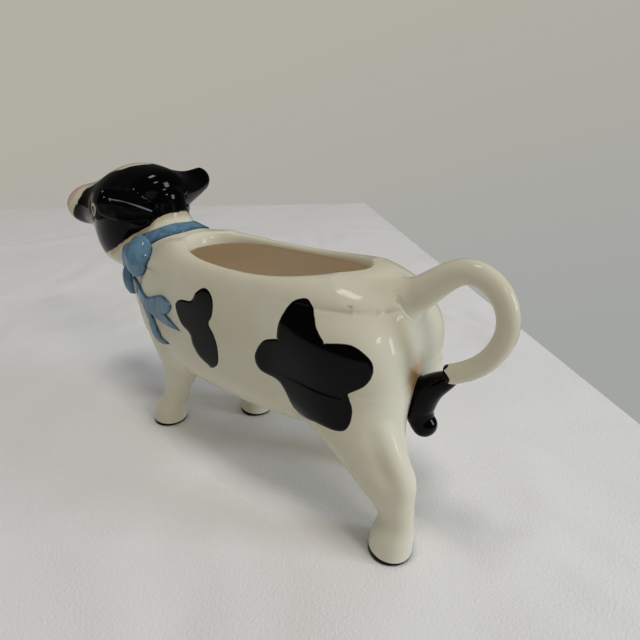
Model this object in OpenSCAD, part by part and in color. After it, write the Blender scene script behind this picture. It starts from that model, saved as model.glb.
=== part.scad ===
// Cow creamer: a slip-cast milk jug in the shape of a standing cow.
// The milk goes in at the oval opening in the back and pours out of the mouth.
// The tail curls round into a handle. All lengths are in millimetres.
// X runs forward to the nose, Y to the cow's left and Z up. The hooves stand on Z = 0.

/* [Body] */
// Length of the body from rump to chest
body_l = 128; // [118:1:140]
// Width of the body at its widest
body_w = 54; // [50:1:60]
// Height of the widest level of the body
body_mid_h = 55; // [52:1:58]
// Height of the lowest point of the belly
belly_h = 27; // [24:0.5:30]
// Height of the middle of the rim
rim_h = 81; // [78:0.5:86]
// Thickness of the cast wall
wall = 3.2; // [2.6:0.1:3.8]

/* [Opening in the back] */
// Length of the opening
opening_l = 81; // [70:1:84]
// Width of the opening
opening_w = 36; // [30:1:38]
// How far the opening's middle lies behind the body's middle
opening_back = 3; // [1:0.5:6]
// How much higher the rim is at its two ends than at its sides
rim_rise = 2.8; // [1:0.1:4]

/* [Hind legs] */
// Length of a haunch, front to back
haunch_l = 37; // [33:0.5:40]
// Width of a haunch
haunch_w = 25; // [22:0.5:27]
// How far the haunches' middles lie behind the body's middle
haunch_back = 46; // [43:0.5:48]
// Distance of a hind hoof from the middle plane
hind_stance = 18; // [15:0.5:19]
// How far the left hind hoof stands behind its haunch
hind_trail = 21.5; // [16:0.5:24]
// How far the right hind hoof steps in front of the left one
hind_step = 24; // [4:1:26]

/* [Front legs] */
// Length of a shoulder, front to back
shoulder_l = 28; // [25:0.5:31]
// Width of a shoulder
shoulder_w = 22; // [19:0.5:24]
// How far the shoulders' middles lie in front of the body's middle
shoulder_fwd = 41; // [38:0.5:44]
// Distance of a front hoof from the middle plane
front_stance = 15; // [13:0.5:17]
// How far the left front hoof steps ahead of its shoulder
left_stride = 10; // [4:1:12]
// How far the right front hoof stays behind its shoulder
right_stride = 16; // [0:1:18]

/* [Hooves] */
// Diameter of a hoof
hoof_d = 14.6; // [13:0.2:16]
// Height of the black hoof at its toe
toe_h = 3; // [2:0.1:4]
// Height of the black hoof at its heel
heel_h = 1; // [0.6:0.1:1.6]

/* [Neck] */
// Depth of the neck from nape to throat at the edge of the head
neck_l = 42; // [39:0.5:45]
// Width of the neck there
neck_w = 35; // [32:0.5:37]
// Height of the neck's middle there
neck_h = 80.5; // [78:0.5:83]
// How far the neck's middle there lies in front of the body's middle
neck_fwd = 69; // [67:0.5:71]
// How far the neck leans forward, in degrees
neck_lean_angle = 26; // [20:1:32]

/* [Head] */
// Length of the head from the poll to the nose
head_l = 68; // [62:0.5:72]
// Height of the head at the cheeks
head_d = 34; // [31:0.5:36]
// Width of the head across the cheeks
head_w = 31; // [28:0.5:33]
// Height of the head's middle line
head_h = 91; // [88:0.5:94]
// How far the poll lies behind the middle of the neck
poll_back = 15; // [13:0.5:17]
// Diameter of the pouring hole in the mouth
spout_d = 8; // [6:0.5:9]

/* [Ears] */
// Distance of an ear's tip from the middle plane
ear_reach = 28.5; // [25:0.5:32]
// Height of the ears' tips
ear_h = 106; // [102:0.5:109]
// How much lower the left ear's tip is than the right one's, the head being held askew
ear_drop = 4; // [0:0.5:6]
// Width of an ear
ear_w = 12.4; // [10:0.2:14]
// Thickness of an ear
ear_t = 4.6; // [4:0.1:6]

/* [Tail handle] */
// Height of the middle of the tail's loop
tail_h = 73.5; // [71:0.5:76]
// Height of the loop from top to bottom
tail_loop_h = 31; // [27:0.5:34]
// How far the loop stands out behind the rump
tail_reach = 27.5; // [25:0.5:31]
// Thickness of the tail in the loop
tail_d = 6.6; // [5.6:0.1:7.6]
// Thickness of the tail at its root
tail_root_d = 12; // [10:0.2:14]
// Thickness of the black tuft at its fullest
tuft_d = 10.6; // [9:0.2:12]

/* [Ribbon] */
// Width of the ribbon round the neck
ribbon_w = 4.4; // [3.4:0.1:5.4]
// How far the ribbon stands out from the neck
ribbon_t = 0.9; // [0.6:0.1:1.4]
// Length of a bow loop
bow_l = 22; // [18:0.5:25]
// Height of a bow loop
bow_h = 15; // [12:0.5:17]
// Thickness of a bow loop
bow_t = 8; // [6:0.5:10]
// Height of the knot of the bow
knot_h = 12; // [9:0.5:14]
// Width of the knot
knot_w = 8; // [6:0.5:10]

/* [Hidden] */

// Facets round the body, a limb and a thin tube
body_sides = 36;
limb_sides = 20;
tube_sides = 14;
ribbon_sides = 8;
bore_sides = 32;
ball_sides = 24;
// Rings along a limb, a tube, a quarter of the body's side and half its lip
limb_rings = 14;
tube_rings = 34;
side_rings = 6;
lip_rings = 4;
// Rings along the nose end, an ear and a piece of ribbon
muzzle_rings = 5;
ear_rings = 8;
ribbon_rings = 10;

// Superellipse exponents: the body seen from above and from the side
plan_power = 2.5;
under_power = 2.5;
over_power = 2.5;

function signed_power(a, p) = sign(a) * pow(abs(a), p);

// Smooth curve through equally spaced knots (Catmull-Rom), t from 0 to 1
function through(knots, t) =
    let (
        last = len(knots) - 1,
        i = min(floor(t * last), last - 1),
        f = t * last - i,
        a = knots[max(i - 1, 0)],
        b = knots[i],
        c = knots[i + 1],
        d = knots[min(i + 2, last)]
    )
    b + f * (c - a) / 2 + f * f * (2 * a - 5 * b + 4 * c - d) / 2
      + f * f * f * (3 * b - a - 3 * c + d) / 2;

// Closed skin over a pile of rings, each counter-clockwise about the way it is swept
module skin(rings) {
    count = len(rings);
    sides = len(rings[0]);
    first_pole = count * sides;
    middles = [for (end = [rings[0], rings[count - 1]]) [for (k = [0:2]) sum_of(end, k) / sides]];
    walls = [
        for (i = [0:count - 2], j = [0:sides - 1])
            let (a = i * sides + j, b = i * sides + (j + 1) % sides)
            each [[a, a + sides, b + sides], [a, b + sides, b]]
    ];
    caps = [
        for (j = [0:sides - 1])
            let (a = j, b = (j + 1) % sides, top = (count - 1) * sides)
            each [[first_pole, a, b], [first_pole + 1, top + b, top + a]]
    ];
    polyhedron([each [for (ring = rings) each ring], each middles], concat(walls, caps), convexity = 8);
}

function sum_of(points, k, i = 0) = i == len(points) ? 0 : points[i][k] + sum_of(points, k, i + 1);

// The whole cow is moved so that the middle of its length lies over the origin
nose_share = 0.997;
nose_x = neck_fwd - poll_back + nose_share * head_l;
tail_x = -body_l / 2 - tail_reach;
module placed() translate([-(nose_x + tail_x) / 2, 0, 0]) children();

function unit(v) = v / norm(v);
function mix(a, b, share) = a + (b - a) * share;
function count_to(n) = [for (i = [0:n]) i / n];

// Ring whose normal leans forward from upright by lean degrees in the middle plane
function leaning_ring(middle, lean, depth_r, width_r, sides) = [
    for (j = [0:sides - 1])
        let (a = 360 * j / sides)
        middle + depth_r * cos(a) * [cos(lean), 0, -sin(lean)] + width_r * sin(a) * [0, 1, 0]
];

// Ring square to a direction, with its first radius on the side that faces up
function facing_ring(middle, dir, up, up_r, side_r, sides) =
    let (e1 = unit(up - dir * (up * dir)), e2 = cross(dir, e1))
    [for (j = [0:sides - 1])
        let (a = 360 * j / sides)
        middle + up_r * cos(a) * e1 + side_r * sin(a) * e2];

// Rings along knots of [x, y, z, up radius, side radius]
function strand(knots, up, rings, sides) = [
    for (t = count_to(rings))
        let (
            step = 0.5 / rings,
            k = through(knots, t),
            ahead = through(knots, min(t + step, 1)),
            behind = through(knots, max(t - step, 0)),
            dir = unit([for (i = [0:2]) ahead[i] - behind[i]])
        )
        facing_ring([k[0], k[1], k[2]], dir, up, k[3], k[4], sides)
];

// The body: rings of [rear, front, half width, height, share of the rim's rise]

rim_rear = -opening_back - opening_l / 2;
rim_front = -opening_back + opening_l / 2;
lip_round_share = 0.45;

function under_level(q, inset) =
    let (out = signed_power(sin(90 * q), 2 / under_power), drop = signed_power(cos(90 * q), 2 / under_power))
    [(inset - body_l / 2) * out, (body_l / 2 - inset) * out, (body_w / 2 - inset) * out,
     body_mid_h - (body_mid_h - belly_h - inset) * drop, 0];

function over_level(q, inset) =
    let (
        closing = 1 - signed_power(cos(90 * q), 2 / over_power),
        climb = signed_power(sin(90 * q), 2 / over_power)
    )
    [mix(inset - body_l / 2, rim_rear - wall + inset, closing),
     mix(body_l / 2 - inset, rim_front + wall - inset, closing),
     mix(body_w / 2 - inset, opening_w / 2 + wall - inset, closing),
     mix(body_mid_h, rim_h, climb), climb];

function lip_level(q) =
    let (out = wall / 2 * (1 + cos(180 * q)))
    [rim_rear - out, rim_front + out, opening_w / 2 + out,
     rim_h + lip_round_share * wall * sin(180 * q), 1];

function body_ring(level) = [
    for (j = [0:body_sides - 1])
        let (
            a = 360 * j / body_sides,
            along = signed_power(cos(a), 2 / plan_power),
            across = signed_power(sin(a), 2 / plan_power)
        )
        [mix(level[0], level[1], (1 + along) / 2), level[2] * across,
         level[3] + level[4] * rim_rise * along * along]
];

function quarter(first) = [for (i = [first:side_rings]) i / side_rings];
function turned_back(list) = [for (i = [len(list) - 1:-1:0]) list[i]];

function outside_levels() = concat(
    [for (q = quarter(1)) under_level(q, 0)],
    [for (q = quarter(1)) over_level(q, 0)]
);
function inside_levels() = concat(
    [for (q = quarter(1)) under_level(q, wall)],
    [for (q = quarter(1)) over_level(q, wall)]
);
function lip_levels(to) = [for (i = [1:lip_rings * to]) lip_level(i / lip_rings)];

// The body as if it were solid, which seats everything that is luted on to it
module body_solid() {
    skin([for (level = concat(outside_levels(), lip_levels(0.5))) body_ring(level)]);
}

// The neck: knots of [forward, up, lean, depth, width] as shares of its size at the head

neck_shares = [
    [-0.68, -0.68, 0.35, 1.00, 1.30],
    [-0.45, -0.37, 0.65, 1.00, 1.18],
    [-0.22, -0.16, 0.92, 0.99, 1.06],
    [0, 0, 1, 1, 1],
    [0.13, 0.22, 1.1, 0.80, 0.86],
    [0.22, 0.40, 1.2, 0.50, 0.60]
];
// Where along those knots the head begins, the ribbon lies, and the passage starts and ends
head_begins_share = 0.58;
ribbon_share = 0.47;
passage_from_share = 0.12;
passage_to_share = 0.86;

// Length of the neck's middle line, from one end of the knots to the other
neck_run_share = 1.45;
neck_run = neck_run_share * neck_l;

function neck_ring(t, grow) =
    let (k = through(neck_shares, t))
    leaning_ring(
        [neck_fwd + k[0] * neck_l, 0, neck_h + k[1] * neck_l], k[2] * neck_lean_angle,
        k[3] * neck_l / 2 + grow, k[4] * neck_w / 2 + grow, limb_sides
    );

module neck_skin(from, to, grow) {
    skin([for (t = count_to(limb_rings)) neck_ring(mix(from, to, t), grow)]);
}

// The head: knots of [forward, up, lean in degrees, depth, width], mostly as shares of its size

head_back = neck_fwd - poll_back;
head_shares = [
    [0.00, 0.24, 60, 0.25, 0.35],
    [0.06, 0.22, 66, 0.62, 0.78],
    [0.17, 0.14, 76, 0.90, 1.00],
    [0.34, -0.02, 82, 1.15, 1.02],
    [0.50, -0.08, 86, 1.12, 0.94],
    [0.66, -0.05, 92, 0.86, 0.78],
    [0.80, 0.00, 96, 0.60, 0.72],
    [0.92, -0.03, 98, 0.56, 0.80],
    [0.985, -0.05, 98, 0.40, 0.60]
];
// Where along those knots the nose end begins, and the head's hollow starts and ends
muzzle_share = 0.84;
hollow_from_share = 0.1;
hollow_to_share = 0.9;
// How far the pouring hole lies below the head's middle line, and the way it points
spout_drop_share = 0.04;
spout_angle = 96;

function head_ring(t, inset) =
    let (k = through(head_shares, t))
    leaning_ring(
        [head_back + k[0] * head_l, 0, head_h + k[1] * head_d], k[2],
        k[3] * head_d / 2 - inset, k[4] * head_w / 2 - inset, limb_sides
    );

module head_skin(from, to, inset, rings = limb_rings) {
    skin([for (t = count_to(rings)) head_ring(mix(from, to, t), inset)]);
}

// The passage that the milk pours through
module neck_passage() neck_skin(passage_from_share, passage_to_share, -wall);
module head_hollow() head_skin(hollow_from_share, hollow_to_share, wall);
module spout_bore() {
    k = through(head_shares, muzzle_share);
    translate([head_back + k[0] * head_l, 0, head_h + (k[1] - spout_drop_share) * head_d])
        rotate([0, spout_angle, 0])
            cylinder(d = spout_d, h = head_l / 2, $fn = bore_sides);
}

module body_shell() color("ivory") placed() difference() {
    skin([
        for (level = concat(outside_levels(), lip_levels(1 - 1 / lip_rings), turned_back(inside_levels())))
            body_ring(level)
    ]);
    neck_passage();
}

module neck() color("ivory") placed() difference() {
    neck_skin(0, head_begins_share, 0);
    body_solid();
    neck_passage();
}

module head() color("#141414") placed() difference() {
    union() {
        head_skin(0, muzzle_share, 0);
        neck_skin(head_begins_share, 1, 0);
    }
    neck_skin(0, head_begins_share, 0);
    neck_passage();
    head_hollow();
    spout_bore();
}

module muzzle() color("#d8a79c") placed() difference() {
    head_skin(muzzle_share, 1, 0, muzzle_rings);
    head_hollow();
    spout_bore();
}

// The ears: knots of [place from root to tip, width, thickness] as shares
ear_shares = [[0, 0.70, 1.2], [0.3, 0.95, 1.1], [0.58, 1, 0.95], [0.84, 0.86, 0.8], [1, 0.42, 0.45]];
// Where the roots lie in the head's width and above its middle line
ear_out_share = 0.3;
ear_up_share = 0.206;
// How far roots and tips lie ahead of the poll, and the right ear ahead of the left one
ear_root_fwd = 2.5;
ear_tip_fwd = 5;
ear_turn = 4;

module ear(side) {
    drop = side > 0 ? ear_drop : 0;
    back = head_back + (side > 0 ? 0 : ear_turn);
    root = [back + ear_root_fwd, side * ear_out_share * head_w, head_h + ear_up_share * head_d - drop];
    tip = [back + ear_tip_fwd, side * ear_reach, ear_h - drop];
    difference() {
        skin(strand(
            [for (s = ear_shares) [each mix(root, tip, s[0]), s[1] * ear_w / 2, s[2] * ear_t / 2]],
            [0, 0, 1], ear_rings, tube_sides));
        head_skin(0, muzzle_share, 0);
        neck_skin(head_begins_share, 1, 0);
        neck_skin(0, head_begins_share, 0);
    }
}
module left_ear() color("#141414") placed() ear(1);
module right_ear() color("#141414") placed() ear(-1);

// The legs: knots of [height, forward, sideways, length, width] as shares from hoof to body,
// where a front leg has one share forward for each side

hind_shares = [
    [0, 0, 0, -0.02, -0.02],
    [0.065, -0.02, 0, -0.05, -0.12],
    [0.11, -0.04, 0.03, -0.10, -0.30],
    [0.16, -0.05, 0.10, -0.13, -0.48],
    [0.22, 0.03, 0.20, -0.02, -0.30],
    [0.28, 0.16, 0.30, 0.18, 0],
    [0.35, 0.32, 0.40, 0.36, 0.32],
    [0.42, 0.53, 0.55, 0.53, 0.60],
    [0.50, 0.72, 0.70, 0.75, 0.88],
    [0.59, 0.92, 0.85, 0.96, 1],
    [0.70, 1, 1, 1, 1],
    [0.84, 1, 1, 0.94, 0.96],
    [0.95, 1, 1, 0.45, 0.40],
    [1, 1, 1, -0.20, -0.60]
];
left_shares = [
    [0, 0, 0, 0, 0],
    [0.067, 0.12, 0, 0, 0],
    [0.12, 0.30, 0.05, -0.08, -0.10],
    [0.17, 0.56, 0.15, -0.19, -0.40],
    [0.24, 0.80, 0.30, -0.24, -0.50],
    [0.32, 1.05, 0.50, -0.06, -0.20],
    [0.40, 1.15, 0.70, 0.16, 0.15],
    [0.50, 1.15, 0.85, 0.50, 0.55],
    [0.63, 1.05, 1, 0.80, 0.85],
    [0.76, 1, 1, 1, 1],
    [0.90, 1, 1, 0.80, 0.85],
    [0.965, 1, 1, 0.35, 0.30],
    [1, 1, 1, -0.15, -0.50]
];
right_forward_shares = [0, 0, 0.02, 0.05, 0.15, 0.32, 0.52, 0.75, 0.92, 1, 1, 1, 1];

// Level of the seam between hoof and leg at the angle a round the hoof from the toe
function seam_level(a) = mix(heel_h, toe_h, (1 + cos(a)) / 2);

function leg_rings(shares, hoof, top, size) = [
    for (t = count_to(limb_rings))
        let (k = through(shares, t))
        [for (j = [0:limb_sides - 1])
            let (a = 360 * j / limb_sides)
            [mix(hoof[0], top[0], k[1]) + mix(hoof_d, size[0], k[3]) / 2 * cos(a),
             mix(hoof[1], top[1], k[2]) + mix(hoof_d, size[1], k[4]) / 2 * sin(a),
             mix(seam_level(a), top[2], k[0])]]
];

function hind_hoof(side) =
    [-haunch_back - hind_trail + (side < 0 ? hind_step : 0), side * hind_stance];
function front_hoof(side) =
    [shoulder_fwd + (side < 0 ? -right_stride : left_stride), side * front_stance];

// A haunch lies flush with the body's side and a shoulder sunk into it. Their tops lie at these
// shares of the way from the body's widest level to its rim.
shoulder_sunk = 3.5;
haunch_y = (body_w - haunch_w) / 2;
shoulder_y = (body_w - shoulder_w) / 2 - shoulder_sunk;
haunch_top_share = 0.885;
shoulder_top_share = 0.77;
haunch_top = mix(body_mid_h, rim_h, haunch_top_share);
shoulder_top = mix(body_mid_h, rim_h, shoulder_top_share);

right_shares = [
    for (i = [0:len(left_shares) - 1])
        [left_shares[i][0], right_forward_shares[i], left_shares[i][2], left_shares[i][3], left_shares[i][4]]
];

module hind_leg(side) difference() {
    skin(leg_rings(
        hind_shares, hind_hoof(side), [-haunch_back, side * haunch_y, haunch_top], [haunch_l, haunch_w]));
    body_solid();
}
module front_leg(side) difference() {
    skin(leg_rings(
        side > 0 ? left_shares : right_shares, front_hoof(side),
        [shoulder_fwd, side * shoulder_y, shoulder_top], [shoulder_l, shoulder_w]));
    body_solid();
    neck_skin(0, head_begins_share, 0);
}
module hoof(at) {
    skin([
        for (up = [0, 1])
            [for (j = [0:limb_sides - 1])
                let (a = 360 * j / limb_sides)
                [at[0] + hoof_d / 2 * cos(a), at[1] + hoof_d / 2 * sin(a), up * seam_level(a)]]
    ]);
}

module hind_left_leg() color("ivory") placed() hind_leg(1);
module hind_right_leg() color("ivory") placed() hind_leg(-1);
module front_left_leg() color("ivory") placed() front_leg(1);
module front_right_leg() color("ivory") placed() front_leg(-1);
module hind_left_hoof() color("#101010") placed() hoof(hind_hoof(1));
module hind_right_hoof() color("#101010") placed() hoof(hind_hoof(-1));
module front_left_hoof() color("#101010") placed() hoof(front_hoof(1));
module front_right_hoof() color("#101010") placed() hoof(front_hoof(-1));

// The tail: knots of [out behind the rump, up from the loop's middle, thickness] as shares

tail_shares = [
    [-0.476, 0.080, 1], [-0.119, 0.226, 0.78], [0.159, 0.403, 0.41], [0.425, 0.532, 0.15],
    [0.675, 0.519, 0.07], [0.885, 0.397, 0], [1, 0.197, -0.07], [0.985, -0.016, -0.11],
    [0.853, -0.210, -0.11], [0.655, -0.361, -0.11], [0.397, -0.484, -0.11]
];
// The tuft: the same, with its thickness as a share of its fullest
tuft_shares = [
    [0.47, -0.45, 0.40], [0.35, -0.56, 0.68], [0.139, -0.694, 0.94], [0.048, -0.887, 1],
    [0.099, -1.048, 0.90], [0.218, -1.161, 0.60], [0.32, -1.226, 0.26]
];

function tail_knot(s, d) =
    [-body_l / 2 - s[0] * (tail_reach - tail_d / 2), 0, tail_h + s[1] * tail_loop_h, d / 2, d / 2];

// Rings along knots in the middle plane, square to the way they run
module plane_strand(knots, rings, sides) {
    skin([
        for (t = count_to(rings))
            let (
                k = through(knots, t),
                ahead = through(knots, min(t + 0.5 / rings, 1)),
                behind = through(knots, max(t - 0.5 / rings, 0))
            )
            leaning_ring(
                [k[0], k[1], k[2]], atan2(ahead[0] - behind[0], ahead[2] - behind[2]), k[3], k[4], sides)
    ]);
}
module tail_form() plane_strand(
    [for (s = tail_shares) tail_knot(s, mix(tail_d, tail_root_d, s[2]))], tube_rings, tube_sides);

module tail_handle() color("ivory") placed() difference() {
    tail_form();
    body_solid();
}
module tail_tuft() color("#141414") placed() difference() {
    plane_strand([for (s = tuft_shares) tail_knot(s, s[2] * tuft_d)], limb_rings, tube_sides);
    tail_form();
    body_solid();
    hind_leg(1);
    hind_leg(-1);
}

// The ribbon: a band round the neck and a bow, luted on in relief

module ribbon_band() color("#5586a8") placed() difference() {
    neck_skin(ribbon_share - ribbon_w / 2 / neck_run, ribbon_share + ribbon_w / 2 / neck_run, ribbon_t);
    neck_skin(0, head_begins_share, 0);
    body_solid();
    loop_form(back_loop_shares);
    loop_form(front_loop_shares);
}

// The bow is tied at the left of the throat. Loops: knots of [forward, left, up] from its knot
// as shares of the loop's length, then height and thickness as shares
back_loop_shares = [
    [-0.05, 0, 0.08, 0.40, 0.50], [-0.36, 0.17, 0.34, 0.72, 0.85], [-0.70, 0.25, 0.58, 1, 1],
    [-1.02, 0.27, 0.75, 1, 0.90], [-1.26, 0.26, 0.87, 0.55, 0.45]
];
front_loop_shares = [
    [0, 0, 0.06, 0.35, 0.50], [0.16, -0.34, 0.16, 0.60, 0.85], [0.17, -0.80, 0.28, 0.80, 1],
    [-0.02, -1.12, 0.38, 0.75, 0.90], [-0.18, -1.30, 0.45, 0.40, 0.45]
];
// The knot ahead of the neck's middle, out to the side and down from it
knot_shares = [0.04, 0.72, 0.45];
knot_at = [neck_fwd + knot_shares[0] * neck_l, knot_shares[1] * neck_w / 2, neck_h - knot_shares[2] * neck_l];

module loop_form(shares) skin(strand(
    [for (s = shares)
        [knot_at[0] + s[0] * bow_l, knot_at[1] + s[1] * bow_l, knot_at[2] + s[2] * bow_l,
         s[3] * bow_h / 2, s[4] * bow_t / 2]],
    [0, 0, 1], ribbon_rings, tube_sides));
module bow_loop(shares) difference() {
    loop_form(shares);
    neck_skin(0, head_begins_share, 0);
    body_solid();
    knot_form();
}
module knot_form() translate(knot_at)
    scale([knot_w, knot_w, knot_h] / 2)
        sphere(r = 1, $fn = ball_sides);
module bow_knot() color("#5586a8") placed() difference() {
    knot_form();
    neck_skin(0, head_begins_share, 0);
    body_solid();
}
module back_bow_loop() color("#5586a8") placed() bow_loop(back_loop_shares);
module front_bow_loop() color("#5586a8") placed() bow_loop(front_loop_shares);

// Ribbon ends: knots of [forward, left, up, width] as shares of half the body's length and
// width, the rim's height and the ribbon's width
short_end_shares = [
    [0.88, 0.66, 0.80, 0.9], [0.801, 0.765, 0.804, 1.1], [0.685, 0.855, 0.789, 1.5],
    [0.62, 0.875, 0.766, 1.7], [0.528, 0.915, 0.746, 1.4], [0.457, 0.945, 0.727, 0.9],
    [0.331, 0.975, 0.699, 0.2]
];
short_fork_shares = [[0.62, 0.875, 0.770, 1.1], [0.55, 0.905, 0.772, 1.3], [0.46, 0.94, 0.788, 0.8]];
long_end_shares = [
    [0.75, 0.80, 0.755, 0.6], [0.693, 0.855, 0.735, 0.9], [0.667, 0.865, 0.69, 1],
    [0.659, 0.857, 0.63, 1.1], [0.638, 0.855, 0.59, 1.1], [0.58, 0.855, 0.575, 0.9],
    [0.513, 0.885, 0.584, 0.2]
];
module ribbon_strand(shares) skin(strand(
    [for (s = shares)
        [s[0] * body_l / 2, s[1] * body_w / 2, s[2] * rim_h, 2 * ribbon_t, s[3] * ribbon_w / 2]],
    [0, 1, 0], ribbon_rings, ribbon_sides));
module chest() {
    body_solid();
    neck_skin(0, head_begins_share, 0);
    front_leg(1);
    knot_form();
}
module short_ribbon_end() color("#5586a8") placed() difference() {
    union() {
        ribbon_strand(short_end_shares);
        ribbon_strand(short_fork_shares);
    }
    chest();
}
module long_ribbon_end() color("#5586a8") placed() difference() {
    ribbon_strand(long_end_shares);
    chest();
    ribbon_strand(short_end_shares);
}

body_shell();
neck();
head();
muzzle();
left_ear();
right_ear();
front_left_leg();
front_right_leg();
hind_left_leg();
hind_right_leg();
front_left_hoof();
front_right_hoof();
hind_left_hoof();
hind_right_hoof();
tail_handle();
tail_tuft();
ribbon_band();
bow_knot();
back_bow_loop();
front_bow_loop();
short_ribbon_end();
long_ribbon_end();
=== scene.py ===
"""Glazed surfaces, cloth, lamps and camera for the cow creamer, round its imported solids.

The shapes are worked out in millimetres and put into the meshes in metres. X runs forward to
the nose, Y to the cow's left and Z up. The soles stand on Z = 0.
"""
import math
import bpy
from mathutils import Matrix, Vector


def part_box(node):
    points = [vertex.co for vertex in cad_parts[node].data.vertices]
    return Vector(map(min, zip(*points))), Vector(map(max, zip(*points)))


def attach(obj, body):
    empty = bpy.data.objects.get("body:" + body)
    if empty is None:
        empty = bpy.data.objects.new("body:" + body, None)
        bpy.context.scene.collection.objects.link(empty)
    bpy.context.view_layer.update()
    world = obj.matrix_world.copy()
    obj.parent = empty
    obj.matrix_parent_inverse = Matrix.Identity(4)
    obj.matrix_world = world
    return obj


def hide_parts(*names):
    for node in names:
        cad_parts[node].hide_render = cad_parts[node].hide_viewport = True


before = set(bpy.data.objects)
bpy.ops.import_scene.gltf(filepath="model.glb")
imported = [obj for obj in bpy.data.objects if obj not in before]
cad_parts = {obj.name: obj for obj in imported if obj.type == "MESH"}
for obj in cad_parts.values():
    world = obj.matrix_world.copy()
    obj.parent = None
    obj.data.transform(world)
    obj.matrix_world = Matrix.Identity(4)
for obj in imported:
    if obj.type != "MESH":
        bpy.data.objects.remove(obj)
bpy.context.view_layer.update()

from types import SimpleNamespace

import bpy
import numpy as np
from mathutils import Vector

bl_info = {
    "name": "Cow creamer",
    "version": (1, 0, 0),
    "blender": (4, 5, 0),
    "location": "View3D > Sidebar > Cow creamer",
    "description": "Builds the glazed surfaces of a cow creamer round its solids",
    "category": "Object",
}

MM = 0.001
BODY_MIDDLE = sum(corner.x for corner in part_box("body_shell")) / 2 / MM


# ---------------------------------------------------------------------------- sizes and colours

def linear(hex_colour):
    """sRGB hex colour as linear red, green, blue and alpha."""
    parts = [int(hex_colour[i:i + 2], 16) / 255 for i in (1, 3, 5)]
    return (*(c / 12.92 if c < 0.04045 else ((c + 0.055) / 1.055) ** 2.4 for c in parts), 1.0)


def length(name, millimetres, description):
    """A size for the panel."""
    return bpy.props.FloatProperty(
        name=name, description=description, default=millimetres * MM, unit="LENGTH")


def colour(name, hex_colour, description):
    """A colour for the panel."""
    return bpy.props.FloatVectorProperty(
        name=name, description=description, default=linear(hex_colour), size=4, subtype="COLOR",
        min=0, max=1)


class CowSizes(bpy.types.PropertyGroup):
    """Sizes of the cow, the same as those of its solids."""
    body_l: length("Body length", 128, "Length of the body from rump to chest")
    body_w: length("Body width", 54, "Width of the body at its widest")
    body_mid_h: length("Widest level", 55, "Height of the widest level of the body")
    belly_h: length("Belly height", 27, "Height of the lowest point of the belly")
    rim_h: length("Rim height", 81, "Height of the middle of the rim")
    wall: length("Wall", 3.2, "Thickness of the cast wall")
    opening_l: length("Opening length", 81, "Length of the opening in the back")
    opening_w: length("Opening width", 36, "Width of the opening in the back")
    opening_back: length("Opening back", 3, "How far the opening lies behind the body's middle")
    rim_rise: length("Rim rise", 2.8, "How much higher the rim is at its ends than at its sides")
    haunch_l: length("Haunch length", 37, "Length of a haunch")
    haunch_w: length("Haunch width", 25, "Width of a haunch")
    haunch_back: length("Haunch back", 46, "How far the haunches lie behind the body's middle")
    hind_stance: length("Hind stance", 18, "Distance of a hind hoof from the middle plane")
    hind_trail: length("Hind trail", 21.5, "How far the left hind hoof stands behind its haunch")
    hind_step: length("Hind step", 24, "How far the right hind hoof is ahead of the left one")
    shoulder_l: length("Shoulder length", 28, "Length of a shoulder")
    shoulder_w: length("Shoulder width", 22, "Width of a shoulder")
    shoulder_fwd: length("Shoulder forward", 41, "How far the shoulders lie ahead of the middle")
    front_stance: length("Front stance", 15, "Distance of a front hoof from the middle plane")
    left_stride: length("Left stride", 10, "How far the left front hoof is ahead of its shoulder")
    right_stride: length("Right stride", 16, "How far the right front hoof stays behind")
    hoof_d: length("Hoof diameter", 14.6, "Diameter of a hoof")
    toe_h: length("Toe height", 3, "Height of the black sole at the toe")
    heel_h: length("Heel height", 1, "Height of the black sole at the heel")
    neck_l: length("Neck depth", 42, "Depth of the neck from nape to throat")
    neck_w: length("Neck width", 35, "Width of the neck")
    neck_h: length("Neck height", 80.5, "Height of the neck's middle")
    neck_fwd: length("Neck forward", 69, "How far the neck lies ahead of the body's middle")
    head_l: length("Head length", 68, "Length of the head from poll to nose")
    head_d: length("Head depth", 34, "Height of the head at the cheeks")
    head_w: length("Head width", 31, "Width of the head across the cheeks")
    head_h: length("Head height", 91, "Height of the head's middle line")
    poll_back: length("Poll back", 15, "How far the poll lies behind the middle of the neck")
    spout_d: length("Mouth hole", 8, "Diameter of the pouring hole")
    ear_reach: length("Ear reach", 28.5, "Distance of an ear's tip from the middle plane")
    ear_h: length("Ear height", 106, "Height of the ears' tips")
    ear_drop: length("Ear drop", 4, "How much lower the left ear's tip is")
    ear_w: length("Ear width", 12.4, "Width of an ear")
    ear_t: length("Ear thickness", 4.6, "Thickness of an ear")
    tail_h: length("Tail height", 73.5, "Height of the middle of the tail's loop")
    tail_loop_h: length("Tail loop", 31, "Height of the tail's loop")
    tail_reach: length("Tail reach", 27.5, "How far the tail stands out behind the rump")
    tail_d: length("Tail thickness", 6.6, "Thickness of the tail")
    tail_root_d: length("Tail root", 12, "Thickness of the tail at its root")
    tuft_d: length("Tuft thickness", 10.6, "Thickness of the tuft")
    ribbon_w: length("Ribbon width", 4.4, "Width of the ribbon")
    ribbon_t: length("Ribbon relief", 0.9, "How far the ribbon stands out")
    bow_l: length("Bow length", 22, "Length of a bow loop")
    bow_h: length("Bow height", 15, "Height of a bow loop")
    bow_t: length("Bow thickness", 8, "Thickness of a bow loop")
    knot_h: length("Knot height", 12, "Height of the knot")
    knot_w: length("Knot width", 8, "Width of the knot")
    neck_lean: bpy.props.FloatProperty(
        name="Neck lean", description="How far the neck leans forward",
        default=math.radians(26), unit="ROTATION")


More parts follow.
